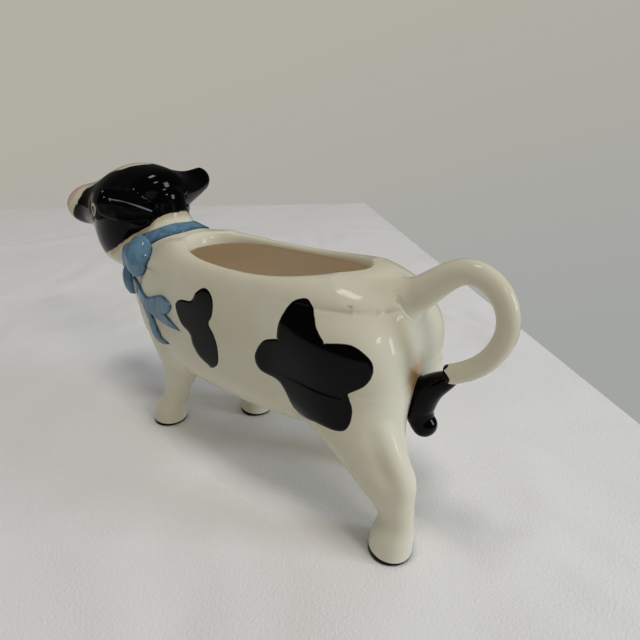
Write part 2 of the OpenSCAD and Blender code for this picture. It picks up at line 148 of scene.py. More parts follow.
class CowColours(bpy.types.PropertyGroup):
    """Colours of the glazes and of what the cow stands on."""
    white: colour("White glaze", "#e8e3ce", "Cream white glaze")
    thick: colour("Thick glaze", "#dfd8bd", "The same glaze where it runs thick")
    # Painted light: the inside is the same cream glaze, and this warmer, lighter colour stands in
    # for the warm bounce light in the hollow
    inside: colour("Inside glaze", "#f8ebd6", "Honey glaze inside the jug")
    black: colour("Black glaze", "#040404", "Black glaze of the patches")
    pink: colour("Pink glaze", "#dcb6aa", "Pink of the nose")
    blue: colour("Blue glaze", "#7096b0", "Blue of the ribbon")
    blue_deep: colour("Deep blue glaze", "#2b4658", "Blue where it lies thick in the folds")
    ochre: colour("Ochre stain", "#b98a3e", "Stain where the tuft touches the rump")
    cloth: colour("Cloth", "#f0efee", "Cotton cloth under the cow")
    wall: colour("Wall", "#b2afa4", "Wall behind the cloth")
    # Painted shade: the backdrop wall turns darker and cooler towards the right
    wall_painted_shade: colour("Wall to the right", "#a3a5a3", "The same wall further from the window")


# ---------------------------------------------------------------------------- forms in millimetres

def through(knots, t):
    """Natural cubic spline through equally spaced knots: the second derivatives m solve
    m[i-1] + 4 m[i] + m[i+1] = 6 (k[i-1] - 2 k[i] + k[i+1]), with none at the two ends."""
    knots = np.asarray(knots, float)
    last = len(knots) - 1
    bend = np.zeros_like(knots)
    if last > 1:
        rows = np.eye(last - 1) * 4 + np.eye(last - 1, k=1) + np.eye(last - 1, k=-1)
        bend[1:-1] = np.linalg.solve(rows, 6 * (knots[:-2] - 2 * knots[1:-1] + knots[2:]))
    i = np.clip((t * last).astype(int), 0, last - 1)
    f = (t * last - i)[:, None]
    g = 1 - f
    return (g * knots[i] + f * knots[i + 1]
            + ((g ** 3 - g) * bend[i] + (f ** 3 - f) * bend[i + 1]) / 6)


def unit(v):
    return v / np.maximum(np.linalg.norm(v, axis=-1, keepdims=True), 1e-12)


def mix(a, b, share):
    return a + (b - a) * share


def smooth(low, high, x):
    """0 at low, 1 at high, with level ends."""
    f = np.clip((x - low) / (high - low), 0, 1)
    return f * f * (3 - 2 * f)


def bulge(x, power):
    """A power that keeps the sign, as the coordinates of a superellipse need."""
    return np.sign(x) * np.abs(x) ** power


class Swept:
    """Elliptical rings carried along a spline, with half an ellipsoid at each end.
    A point is middle(t) + first(t) r1(t) cos a + second(t) r2(t) sin a."""
    STATIONS = 320
    SEARCH = 8      # Every so many stations a point's nearest one is looked for
    STEPS = 5       # Newton steps from there into the ring's plane

    def __init__(self, middles, radii, normals, first, domes=(1, 1), cup=0.0):
        """normals and first are the rings' axes at the stations; cup bends a ring's long axis.
        swell is how fast the two radii grow along the run, where that is reckoned with."""
        self.first = unit(first - normals * (first * normals).sum(-1, keepdims=True))
        self.second = np.cross(normals, self.first)
        self.table = np.hstack([middles, normals, self.first, self.second, radii])
        self.run = np.diff(middles, axis=0, append=2 * middles[-1:] - middles[-2:-1])
        self.turn = np.diff(normals, axis=0, append=normals[-1:])
        self.swell = radii * 0
        self.domes = domes
        self.cup = cup

    def between(self, place):
        """Station before each place, and the table's row at the place itself."""
        i = np.clip(place.astype(int), 0, self.STATIONS - 2)
        f = (place - i)[..., None]
        return i, self.table[i] * (1 - f) + self.table[i + 1] * f

    def at(self, t):
        row = self.between(np.clip(t, 0, 1) * (self.STATIONS - 1))[1]
        return [row[..., 3 * k:3 * k + 3] for k in range(4)] + [row[..., 12], row[..., 13]]

    def surface(self, t, a):
        """Points for arrays t and a. Below 0 and above 1, t runs over the domes to their poles."""
        c, n, e1, e2, r1, r2 = self.at(t)
        beyond = np.where(t < 0, t, np.maximum(t - 1, 0)) * math.pi / 2
        height = np.where(t < 0, self.domes[0], self.domes[1])
        u, v = np.cos(a) * np.cos(beyond), np.sin(a) * np.cos(beyond)
        v = v + self.cup * (u * u - 0.5)
        return (c + e1 * (r1 * u)[..., None] + e2 * (r2 * v)[..., None]
                + n * (height * np.sin(beyond))[..., None])

    def gap(self, p):
        """Distance of points from the surface, to first order and negative inside. t slides
        until the point lies in its ring's plane; past the ends it stays on the last ring."""
        coarse = self.table[::self.SEARCH, :3]
        near = ((coarse ** 2).sum(1) - 2 * p @ coarse.T).argmin(1) * float(self.SEARCH)
        for _ in range(self.STEPS):
            i, row = self.between(near)
            away = p - row[:, :3]
            slope = (self.run[i] * row[:, 3:6]).sum(1) - (away * self.turn[i]).sum(1)
            least = 0.3 * np.linalg.norm(self.run[i], axis=1)
            step = (away * row[:, 3:6]).sum(1) / np.maximum(slope, least)
            near = np.clip(near + np.clip(step, -40, 40), 0, self.STATIONS - 1)
        c, n, e1, e2, r1, r2 = self.at(near / (self.STATIONS - 1))
        away = p - c
        u, s = (away * e1).sum(1) / r1, (away * n).sum(1)
        v = (away * e2).sum(1) / r2 - self.cup * (u * u - 0.5)
        dome = np.where(near < self.STATIONS / 2, self.domes[0], self.domes[1])
        rho = np.sqrt(u * u + v * v + (s / dome) ** 2) + 1e-6
        swell = self.swell[near.astype(int)]
        along = (u * u * swell[:, 0] / r1 + v * v * swell[:, 1] / r2) / rho
        along = np.abs(along) + np.abs(s) / dome ** 2
        slope = np.sqrt((u / r1) ** 2 + (v / r2) ** 2 + along ** 2) / rho + 1e-6
        return (rho - 1) / slope


def leaning(knots, domes):
    """Swept form from knots of [x, z, lean in degrees, depth radius, width radius]."""
    row = through(knots, np.linspace(0, 1, Swept.STATIONS))
    lean = np.radians(row[:, 2])
    none = np.zeros_like(lean)
    return Swept(np.stack([row[:, 0], none, row[:, 1]], 1), row[:, 3:5],
                 np.stack([np.sin(lean), none, np.cos(lean)], 1),
                 np.stack([np.cos(lean), none, -np.sin(lean)], 1), domes)


def strand(knots, up, domes, cup=0.0):
    """Swept form from knots of [x, y, z, up radius, side radius], square to its own run."""
    row = through(knots, np.linspace(0, 1, Swept.STATIONS))
    run = unit(np.gradient(row[:, :3], axis=0))
    return Swept(row[:, :3], row[:, 3:5], run, np.broadcast_to(np.array(up, float), run.shape),
                 domes, cup)


def upright(knots, domes):
    """Swept form from knots of [x, y, z, length radius, width radius] with level rings."""
    row = through(knots, np.linspace(0, 1, Swept.STATIONS))
    flat = np.zeros((Swept.STATIONS, 3))
    form = Swept(row[:, :3], row[:, 3:5], flat + [0, 0, 1], flat + [1, 0, 0], domes)
    rise = np.maximum(np.gradient(row[:, 2]), 1e-3)
    form.swell = np.clip(np.gradient(row[:, 3:5], axis=0) / rise[:, None], -3, 3)
    return form


class Barrel:
    """The body: superellipse rings. share 0 is the widest ring and 1 the lip's ring; up goes
    from -1 at the belly over 0 at the widest level to 1 at the lip's top. On the surface
    (1 - share) and up lie on a superellipse, and so do the two plan coordinates of a ring."""
    POWER = 2.5
    REAR_TIP, FRONT_TIP = 1.75, 2.1    # Powers of the lip's ring: the lower, the more pointed

    def __init__(self, s, inset, lip, lip_top):
        self.wide = np.array([-s.body_l / 2 + inset, s.body_l / 2 - inset, s.body_w / 2 - inset])
        back, half = -s.opening_back, s.opening_l / 2 + lip
        self.rim = np.array([back - half, back + half, s.opening_w / 2 + lip])
        self.mid, self.low, self.top = s.body_mid_h, s.belly_h + inset, lip_top
        self.rise = s.rim_rise

    def ring(self, share):
        size = mix(self.wide, self.rim, share[..., None])
        middle, half = (size[..., 0] + size[..., 1]) / 2, (size[..., 1] - size[..., 0]) / 2
        return middle, half, size[..., 2]

    def side_power(self, share, along):
        tip = np.where(along < 0, self.REAR_TIP, self.FRONT_TIP)
        return mix(self.POWER, tip, np.clip(share, 0, 1))

    def plan(self, share, a):
        middle, half, side = self.ring(share)
        along = bulge(np.cos(a), 2 / self.POWER)
        across = bulge(np.sin(a), 2 / self.side_power(share, along))
        return along, middle + half * along, side * across

    def over(self, q, a):
        """Upper part, q from 0 at the widest level to 1 at the lip's top."""
        share = 1 - np.cos(q * math.pi / 2) ** (2 / self.POWER)
        up = np.sin(q * math.pi / 2) ** (2 / self.POWER)
        along, x, y = self.plan(share, a)
        return np.stack([x, y, mix(self.mid, self.top, up) + up * self.rise * along ** 2], -1)

    def under(self, q, a):
        """Lower part, q from 0 at the belly's pole to 1 at the widest level."""
        out = np.sin(q * math.pi / 2) ** (2 / self.POWER)
        drop = np.cos(q * math.pi / 2) ** (2 / self.POWER)
        along, x, y = self.plan(np.zeros_like(q), a)
        return np.stack([x * out, y * out, mix(self.mid, self.low, drop)], -1)

    def spread(self, share, p):
        """How far a point lies out in the ring of that share: 1 on it."""
        middle, half, side = self.ring(share)
        u, v = (p[:, 0] - middle) / half, p[:, 1] / side
        power = self.side_power(share, u)
        return np.abs(u), np.abs(v), power, (
            np.abs(u) ** self.POWER + np.abs(v) ** power + 1e-9) ** (-1 / self.POWER)

    def gap(self, p):
        """Distance of points from the outside, to first order and negative inside."""
        lift = np.clip((p[:, 2] - self.mid) / (self.top - self.mid), 0, 1.2)
        middle, half, _ = self.ring(lift ** 2)
        along = np.clip((p[:, 0] - middle) / half, -1, 1)
        up = (p[:, 2] - lift * self.rise * along ** 2 - self.mid)
        up = up / np.where(up > 0, self.top - self.mid, self.mid - self.low)
        # Share of the ring that holds the point, by secants: 1 / spread is nearly linear in it
        a, b = np.zeros(len(p)), np.ones(len(p))
        fa, fb = self.spread(a, p)[3] - 1, self.spread(b, p)[3] - 1
        for _ in range(2):
            fall = np.where(np.abs(fb - fa) < 1e-6, -1e-6, fb - fa)
            share = np.clip(a - fa * (b - a) / fall, -3, 1)
            a, fa, b, fb = share, self.spread(share, p)[3] - 1, a, fa
        out = 1 - share
        above = up > 0
        w = np.where(above, np.maximum(out, 0), 1 / self.spread(np.zeros(len(p)), p)[3])
        k = self.POWER
        rho = (np.abs(w) ** k + np.abs(up) ** k + 1e-9) ** (1 / k)
        middle, half, side = self.ring(np.where(above, np.clip(share, 0, 1), 0))
        u, v = (p[:, 0] - middle) / half, p[:, 1] / side
        n = (np.abs(u) ** k + np.abs(v) ** k + 1e-9) ** (1 / k)
        gx, gy = (np.abs(u) / n) ** (k - 1) / half, (np.abs(v) / n) ** (k - 1) / side
        steep = np.hypot(gx, gy)
        # Above, one unit of w is the way from the lip's ring to the widest one
        far, near = self.ring(np.ones(1)), self.ring(np.zeros(1))
        reach = mix(near[2] - far[2], near[1] - far[1],
                    np.clip(gx / np.maximum(steep, 1e-9), 0, 1))
        flat = np.where(above, 1 / reach, steep)
        tall = 1 / np.where(above, self.top - self.mid, self.mid - self.low)
        slope = np.hypot((w / rho) ** (k - 1) * flat, (np.abs(up) / rho) ** (k - 1) * tall)
        return (rho - 1) / np.maximum(slope, 1e-3)


# ---------------------------------------------------------------------------- tables of shares

# Knots of the neck: forward and up as shares of neck_l, then lean, depth and width as shares
NECK = [[-0.68, -0.68, 0.35, 1.00, 1.30], [-0.45, -0.37, 0.65, 1.00, 1.18],
        [-0.22, -0.16, 0.92, 0.99, 1.06], [0, 0, 1, 1, 1],
        [0.13, 0.22, 1.1, 0.80, 0.86], [0.22, 0.40, 1.2, 0.50, 0.60]]
HEAD_BEGINS = 0.58      # Share of the neck's run where the black head begins
RIBBON_PLACE = 0.508    # and where the ribbon's middle lies
NECK_RUN = 1.45         # Length of the neck's run over neck_l

# Knots of the head: forward as a share of head_l, up of head_d, lean in degrees, depth, width
HEAD = [[0.00, 0.24, 60, 0.25, 0.35], [0.06, 0.22, 66, 0.62, 0.78], [0.17, 0.14, 76, 0.90, 1.00],
        [0.34, -0.02, 82, 1.15, 1.02], [0.50, -0.08, 86, 1.12, 0.94],
        [0.66, -0.05, 92, 0.86, 0.78], [0.80, 0.00, 96, 0.60, 0.72],
        [0.92, -0.03, 98, 0.56, 0.80], [0.985, -0.05, 98, 0.40, 0.60]]
MUZZLE_BEGINS = 0.84    # Share of the head's run where the nose begins

# Knots of an ear: share of the way from root to tip, then shares of its width and thickness
EAR = [[0, 0.70, 1.2], [0.22, 0.92, 1.1], [0.44, 1, 0.98], [0.63, 0.98, 0.86], [0.80, 0.88, 0.78]]

# Knots of the legs: how far up, forward, outward, in length and in width they have gone from
# the hoof to the haunch or shoulder
HIND = [[0, 0, 0, -0.02, -0.02], [0.065, -0.02, 0, -0.05, -0.12],
        [0.11, -0.04, 0.03, -0.10, -0.30], [0.16, -0.05, 0.10, -0.13, -0.48],
        [0.22, 0.03, 0.20, -0.02, -0.30], [0.28, 0.16, 0.30, 0.18, 0],
        [0.35, 0.32, 0.40, 0.36, 0.32], [0.42, 0.53, 0.55, 0.53, 0.60],
        [0.50, 0.72, 0.70, 0.75, 0.88], [0.59, 0.92, 0.85, 0.96, 1], [0.70, 1, 1, 1, 1],
        [0.84, 1, 1, 0.94, 0.96], [0.95, 1, 1.3, 0.48, 0.38], [1, 1, 2.4, -0.15, -0.75]]
FRONT = [[0, 0, 0, 0, 0], [0.067, 0.12, 0, 0, 0], [0.12, 0.30, 0.05, -0.08, -0.10],
         [0.17, 0.56, 0.15, -0.19, -0.40], [0.24, 0.80, 0.30, -0.24, -0.50],
         [0.32, 1.05, 0.50, -0.06, -0.20], [0.40, 1.15, 0.70, 0.16, 0.15],
         [0.50, 1.15, 0.85, 0.50, 0.55], [0.63, 1.05, 1, 0.80, 0.85], [0.76, 1, 1, 1, 1],
         [0.90, 1, 1, 0.80, 0.85], [0.965, 1, 1, 0.35, 0.30], [1, 1, 1, -0.15, -0.50]]
# The right front leg stands further back, so it goes forward at other heights
RIGHT_FORWARD = [0, 0, 0.02, 0.05, 0.15, 0.32, 0.52, 0.75, 0.92, 1, 1, 1, 1]
# Knots of a hock from its hoof: forward, outward and up, then two half sizes, all in mm
HOCK = [[5.2, 1.0, 45, 2.0, 2.4], [1.2, 0.9, 38, 2.7, 3.2], [-2.0, 0.5, 32, 3.1, 3.7],
        [-3.4, 0.2, 27, 2.9, 3.4], [-2.8, 0, 22, 2.0, 2.4]]
LIP_ROUND = 0.45                     # How far the lip stands over the rim, as a share of the wall
EAR_ROOT = (2.5, 0.3, 0.206)         # Forward in mm, out of head_w and up of head_d
EAR_FORWARD, EAR_DOME = 5, 1.5       # The ear's tip: forward, and how far its dome rises, in mm
TAIL_DOME = 0.15                     # How far the tail's loop stays short of its reach, in mm
HIND_TOP, FRONT_TOP = 0.885, 0.77    # Tops of the legs between the widest level and the rim
SHOULDER_SUNK = 3.5                  # How far a shoulder is sunk into the body, in mm

# Knots of tail and tuft: back as a share of tail_reach, up of tail_loop_h, and thickness
TAIL = [[-0.476, 0.080, 1], [-0.119, 0.226, 0.78], [0.159, 0.403, 0.41], [0.425, 0.532, 0.15],
        [0.675, 0.519, 0.07], [0.885, 0.397, 0], [1, 0.197, -0.05], [0.985, -0.016, -0.06],
        [0.860, -0.222, -0.06], [0.655, -0.382, -0.06], [0.397, -0.500, -0.06]]
TUFT = [[0.49, -0.47, 0.42], [0.36, -0.575, 0.60], [0.172, -0.715, 0.86], [0.055, -0.897, 0.98],
        [0.065, -1.030, 0.87], [0.105, -1.105, 0.80], [0.150, -1.150, 0.78]]

# Back loop: middle as shares of body_l / 2, body_w / 2 and rim_h, then half sizes as shares of
# bow_h: its width, length and depth. It lies along LOOP_UP, and faces LOOP_OUT.
BACK_LOOP = [0.794, 0.719, 0.968, 0.455, 0.55, 0.30]
LOOP_UP, LOOP_OUT = (0.42, -0.41, 0.81), (0.08, 0.88, 0.46)
# Knots of the front loop from the knot's place, as shares of bow_l, with shares of half sizes
FRONT_LOOP = [[0.08, -0.45, 0.14, 0.30, 0.50], [0.10, -0.70, 0.20, 0.60, 0.80],
              [0.06, -0.95, 0.30, 0.75, 0.90], [-0.06, -1.18, 0.38, 0.70, 0.80],
              [-0.20, -1.34, 0.45, 0.40, 0.45]]
# The knot's place: forward as a share of neck_l, out of neck_w / 2, down of neck_l; the knot
# itself is shifted from there, in mm
KNOT, KNOT_SHIFT = [0.04, 0.72, 0.45], [-10.2, 5.9, 5.4]
# Ribbon ends: the same shares, then half the width as a share of ribbon_w
SHORT_END = [[0.865, 0.745, 0.850, 0.20], [0.800, 0.815, 0.815, 0.45],
             [0.700, 0.880, 0.775, 0.62], [0.590, 0.915, 0.750, 0.66],
             [0.470, 0.935, 0.725, 0.52], [0.390, 0.950, 0.712, 0.30], [0.305, 0.965, 0.698, 0.02]]
SHORT_FORK = [[0.700, 0.890, 0.770, 0.35], [0.600, 0.915, 0.772, 0.62],
              [0.520, 0.930, 0.782, 0.80], [0.440, 0.940, 0.795, 0.74], [0.375, 0.950, 0.805, 0.10]]
LONG_END = [[0.770, 0.850, 0.805, 0.35], [0.690, 0.895, 0.760, 0.42], [0.625, 0.915, 0.700, 0.46],
            [0.592, 0.925, 0.655, 0.50], [0.570, 0.925, 0.622, 0.60], [0.535, 0.925, 0.598, 0.42],
            [0.450, 0.935, 0.594, 0.02]]


# ---------------------------------------------------------------------------- the cow's forms

def cow_sizes():
    """The sizes that the panel shows, in millimetres and degrees."""
    group = bpy.context.scene.cow_sizes
    s = SimpleNamespace(**{
        key: getattr(group, key) / MM for key in CowSizes.__annotations__ if key != "neck_lean"})
    s.neck_lean = math.degrees(group.neck_lean)
    return s


def hooves(s):
    """Middles of the soles, by leg."""
    hind, front = -s.haunch_back - s.hind_trail, s.shoulder_fwd
    return {
        "hind_left": (hind, s.hind_stance), "hind_right": (hind + s.hind_step, -s.hind_stance),
        "front_left": (front + s.left_stride, s.front_stance),
        "front_right": (front - s.right_stride, -s.front_stance)}


def leg_form(s, leg):
    """A leg with its hoof: level rings whose first ones stand on the sole."""
    hoof = hooves(s)[leg]
    side = math.copysign(1, hoof[1])
    seam = (s.toe_h + s.heel_h) / 2
    if leg.startswith("hind"):
        shares = np.array(HIND)
        top = (-s.haunch_back, side * (s.body_w - s.haunch_w) / 2,
               mix(s.body_mid_h, s.rim_h, HIND_TOP))
        size = (s.haunch_l, s.haunch_w)
    else:
        shares = np.array(FRONT)
        if leg == "front_right":
            shares[:, 1] = RIGHT_FORWARD
        top = (s.shoulder_fwd, side * ((s.body_w - s.shoulder_w) / 2 - SHOULDER_SUNK),
               mix(s.body_mid_h, s.rim_h, FRONT_TOP))
        size = (s.shoulder_l, s.shoulder_w)
    knots = np.stack([
        mix(hoof[0], top[0], shares[:, 1]), mix(hoof[1], top[1], shares[:, 2]),
        mix(seam, top[2], shares[:, 0]),
        mix(s.hoof_d, size[0], shares[:, 3]) / 2, mix(s.hoof_d, size[1], shares[:, 4]) / 2], 1)
    sole = knots[:1] * [1, 1, 0, 1, 1]
    return upright(np.vstack([sole, knots]), (0.01, 1.5))


def cow_forms(s):
    """All forms that the glaze covers without a break."""
    f = {"body": Barrel(s, 0, s.wall / 2, s.rim_h + LIP_ROUND * s.wall)}
    neck = np.array(NECK)
    f["neck"] = leaning(np.stack([
        s.neck_fwd + neck[:, 0] * s.neck_l, s.neck_h + neck[:, 1] * s.neck_l,
        neck[:, 2] * s.neck_lean, neck[:, 3] * s.neck_l / 2, neck[:, 4] * s.neck_w / 2], 1),
        (6, 6))
    head = np.array(HEAD)
    head_back = s.neck_fwd - s.poll_back
    f["head"] = leaning(np.stack([
        head_back + head[:, 0] * s.head_l, s.head_h + head[:, 1] * s.head_d, head[:, 2],
        head[:, 3] * s.head_d / 2, head[:, 4] * s.head_w / 2], 1), (3.5, 0.6))
    for side, name in ((1, "left_ear"), (-1, "right_ear")):
        # The left ear hangs lower; the right one is set 4 mm further forward
        drop, turn = (s.ear_drop, 0) if side > 0 else (0, 4)
        root = np.array([head_back + turn + EAR_ROOT[0], side * EAR_ROOT[1] * s.head_w,
                         s.head_h + EAR_ROOT[2] * s.head_d - drop])
        tip = np.array([head_back + turn + EAR_FORWARD, side * s.ear_reach,
                        s.ear_h - EAR_DOME - drop])
        knots = [[*mix(root, tip, e[0]), e[1] * s.ear_w / 2, e[2] * s.ear_t / 2] for e in EAR]
        f[name] = strand(knots, (0, 0, 1), (2, 4.2), cup=0.8 * side)
    for leg in hooves(s):
        f[leg] = leg_form(s, leg)
    for leg, side in (("hind_left", 1), ("hind_right", -1)):
        x, y = hooves(s)[leg]
        f[leg.replace("hind", "hock")] = strand(
            np.array(HOCK) * [1, side, 1, 1, 1] + [x, y, 0, 0, 0], (1, 0, 0), (2, 2))

    def tail_knots(shares, thick):
        shares = np.array(shares)
        none = np.zeros(len(shares))
        return np.stack([
            -s.body_l / 2 - shares[:, 0] * (s.tail_reach - s.tail_d / 2 - TAIL_DOME), none,
            s.tail_h + shares[:, 1] * s.tail_loop_h, thick(shares[:, 2]), thick(shares[:, 2])], 1)

    f["tail"] = strand(tail_knots(TAIL, lambda k: mix(s.tail_d, s.tail_root_d, k) / 2),
                       (0, 1, 0), (4, 3))
    f["tuft"] = strand(tail_knots(TUFT, lambda k: s.tuft_d * k / 2), (0, 1, 0), (1, 3.9))
    return f


# Distance within which two forms run into each other under the glaze, in millimetres. Names
# that end in _ stand for the form of each side.
FILLETS = {
    ("body", "neck"): 7, ("body", "hind_"): 10, ("body", "front_"): 5, ("neck", "front_"): 4,
    ("body", "tail"): 6, ("neck", "head"): 15, ("head", "left_ear"): 5, ("head", "right_ear"): 9,
    ("neck", "left_ear"): 5, ("neck", "right_ear"): 8, ("body", "tuft"): 1.5,
    ("tuft", "hind_"): 1.5, ("hind_", "hock_"): 3.5,
}


class Skin:
    """The forms with fillets between them. The level of form i is its gap less the fillets'
    k/4 (1 - |gap i - gap j|/k)^2 for the forms j within k, added as cubes so that fillets
    which overlap don't pile up. The union's level is that of the form with the least gap."""
    REACH = 4       # Two forms are reckoned with up to this far past their fillet, in mm
    ROUNDS = 8      # Secant steps onto the surface
    PROBE = 0.35    # Half the way over which the level's slope is taken, in mm
    DIVE = 0.04     # How far a part sinks for each mm that it lies inside another form
    NONE = 9        # A form's gap over a point's own one where there is no other form, in mm
    FAR = 99.0      # Gap of a form at the points where it doesn't count, in mm

    def __init__(self, forms, fillets):
        self.forms = forms
        self.k = {name: {} for name in forms}
        for (a, b), k in fillets.items():
            self.k[a][b] = self.k[b][a] = k

    def level(self, name, gaps):
        """Level of one form from the gaps of it and its neighbours."""
        total = 0
        for other, k in self.k[name].items():
            if other in gaps:
                near = np.clip(1 - np.abs(gaps[name] - gaps[other]) / k, 0, 1)
                total = total + (k / 4 * near ** 2) ** 3
        return gaps[name] - np.cbrt(total)

    def union(self, p, masks):
        """Gaps and levels of the forms, and the union's level. masks say for each form at
        which points it counts."""
        gaps = {}
        for name, mask in masks.items():
            gaps[name] = np.full(len(p), self.FAR)
            gaps[name][mask] = self.forms[name].gap(p[mask])
        levels = np.stack([self.level(name, gaps) for name in gaps])
        owner = np.stack(list(gaps.values())).argmin(0)
        return gaps, levels, levels[owner, np.arange(len(p))]

    def settle(self, name, p, n, whole=False):
        """Moves a grid of points along n onto the filleted form, or onto the whole union. Gives
        the points, the directions in which the union's level rises there, and how much deeper
        each point lies in another form than in its own; there the form dives under it."""
        shape = p.shape
        p, n = p.reshape(-1, 3).copy(), n.reshape(-1, 3).copy()
        own = self.forms[name].gap(p)
        others = {other: self.forms[other].gap(p) for other in self.k[name]}
        masks = {}
        for other, gap in others.items():
            reach = self.k[name][other] + self.REACH
            masks[other] = (gap - own < reach) & ((own - gap < reach) | whole)
        deeper = own - np.min([*others.values(), own + self.NONE], axis=0)
        live = np.any([*masks.values(), np.full(len(p), whole)], axis=0)
        q, way = p[live], n[live]
        masks = {name: np.ones(len(q), bool),
                 **{other: mask[live] for other, mask in masks.items() if mask.any()}}
        rate, moved, before = np.full(len(q), 1.3), None, None
        for _ in range(self.ROUNDS):
            _, levels, union = self.union(q, masks)
            level = union if whole else levels[0]
            if moved is not None:
                steady = np.abs(moved) > 1e-3
                rise = (before - level) / np.where(steady, moved, 1)
                rate = np.where(steady, np.clip(rise, 0.6, 6), rate)
            before, moved = level, np.clip(level / rate, -2, 2)
            q -= way * moved[:, None]
        gaps = self.union(q, masks)[0]
        deeper[live] = gaps[name] - np.min([*gaps.values()], axis=0)
        way = unit(np.stack([self.union(q + step, masks)[2] - self.union(q - step, masks)[2]
                             for step in self.PROBE * np.eye(3)], -1))
        if not whole:
            q -= way * (self.DIVE * np.clip(deeper[live], 0, 3))[:, None]
        p[live], n[live] = q, way
        return p.reshape(shape), n.reshape(shape), deeper.reshape(shape[:-1])


def skin_of_cow():
    """The cow's skin at the sizes that the panel shows."""
    both = {tuple(name + side if name.endswith("_") else name for name in pair): k
            for pair, k in FILLETS.items() for side in ("left", "right")}
    return Skin(cow_forms(cow_sizes()), both)


# ---------------------------------------------------------------------------- grids of points

def grid_normals(p):
    """Normals of a grid whose rows close on themselves: cross products of its two runs."""
    n = np.cross(np.gradient(p, axis=0), np.roll(p, -1, axis=1) - np.roll(p, 1, axis=1))
    size = np.linalg.norm(n, axis=-1)
    n = unit(n)
    for row, beside in ((0, 1), (-1, -2)):
        if (size[row] < 1e-5).all():
            n[row] = unit(n[beside].mean(0))
    return n


def turned(n, part, way):
    """The normals n, turned over if a part of them points against the way."""
    return -n if (part * way).sum() < 0 else n


def facing(form, p, n):
    """The normals n of points p, turned so that they point out of the form."""
    flat, way = p.reshape(-1, 3), n.reshape(-1, 3)
    out = np.median(form.gap(flat + 0.3 * way) - form.gap(flat - 0.3 * way))
    return n if out > 0 else -n


def fine(count):
    return count


def even_angles(count, power=2.0):
    """Angles that are spread evenly along a superellipse."""
    count = fine(count)
    a = np.linspace(0, 2 * math.pi, 4001)
    x, y = bulge(np.cos(a), 2 / power), bulge(np.sin(a), 2 / power)
    run = np.concatenate([[0], np.cumsum(np.hypot(np.diff(x), np.diff(y)))])
    return np.interp(np.arange(count) / count * run[-1], run, a)


def even_rows(curve, count):
    """Parameters from 0 to 1 that are spread evenly along curve(t)."""
    t = np.linspace(0, 1, 2000)
    steps = np.linalg.norm(np.diff(curve(t), axis=0), axis=-1)
    run = np.concatenate([[0], np.cumsum(steps)])
    return np.interp(np.linspace(0, 1, fine(count)) * run[-1], run, t)


def runs(*stops):
    """Rows from stop to stop, given as (first, rows, next, rows, ..., last)."""
    parts = [np.linspace(a, b, fine(n) + 1)[:-1] for a, n, b in
             zip(stops[:-2:2], stops[1:-1:2], stops[2::2])]
    return np.concatenate(parts + [[stops[-1]]])


def tube_grid(form, t, count):
    """Grid of a swept form: rows t, and columns spread evenly round it."""
    t, a = np.meshgrid(t, even_angles(count), indexing="ij")
    return form.surface(t, a)


def barrel_grid(form, a, rows):
    """Grid of a barrel from its pole below to its lip: rows spread evenly, columns a."""
    middle = lambda part: lambda t: part(t, np.full_like(t, math.pi / 2))
    low, high = even_rows(middle(form.under), rows), even_rows(middle(form.over), rows)[1:]
    return np.concatenate([form.under(*np.meshgrid(low, a, indexing="ij")),
                           form.over(*np.meshgrid(high, a, indexing="ij"))])


def hollow_form(s):
    """The jug's inner wall."""
    return Barrel(s, s.wall, 0.0, s.rim_h - 0.4)


def in_hollow(p):
    """Whether points lie in the jug's hollow or in its opening."""
    s = cow_sizes()
    hollow, flat = hollow_form(s), p.reshape(-1, 3)
    opening = (hollow.spread(np.ones(len(flat)), flat)[3] > 0.98) & (flat[:, 2] > s.body_mid_h)
    return (opening | (hollow.gap(flat) < 0.4)).reshape(p.shape[:-1])


def settled(skin, name, p, **poles):
    """Grid p on the filleted form, with its normals and what is kept of it: not what lies
    4 mm deep in another form, nor what would show inside the jug."""
    p, n, deeper = skin.settle(name, p, facing(skin.forms[name], p, grid_normals(p)))
    keep = deeper < 4.0
    if name != "body":
        keep &= ~in_hollow(p)
    return dict(p=p, n=n, keep=keep, **poles)


def tube(skin, name, stops, count, **poles):
    """Settled grid of a swept form."""
    return settled(skin, name, tube_grid(skin.forms[name], runs(*stops), count), **poles)


# ---------------------------------------------------------------------------- meshes

def dress(piece, node):
    """The piece rides on the one body and stands in for its node, whose solid it hides."""
    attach(piece, "root")
    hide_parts(node)


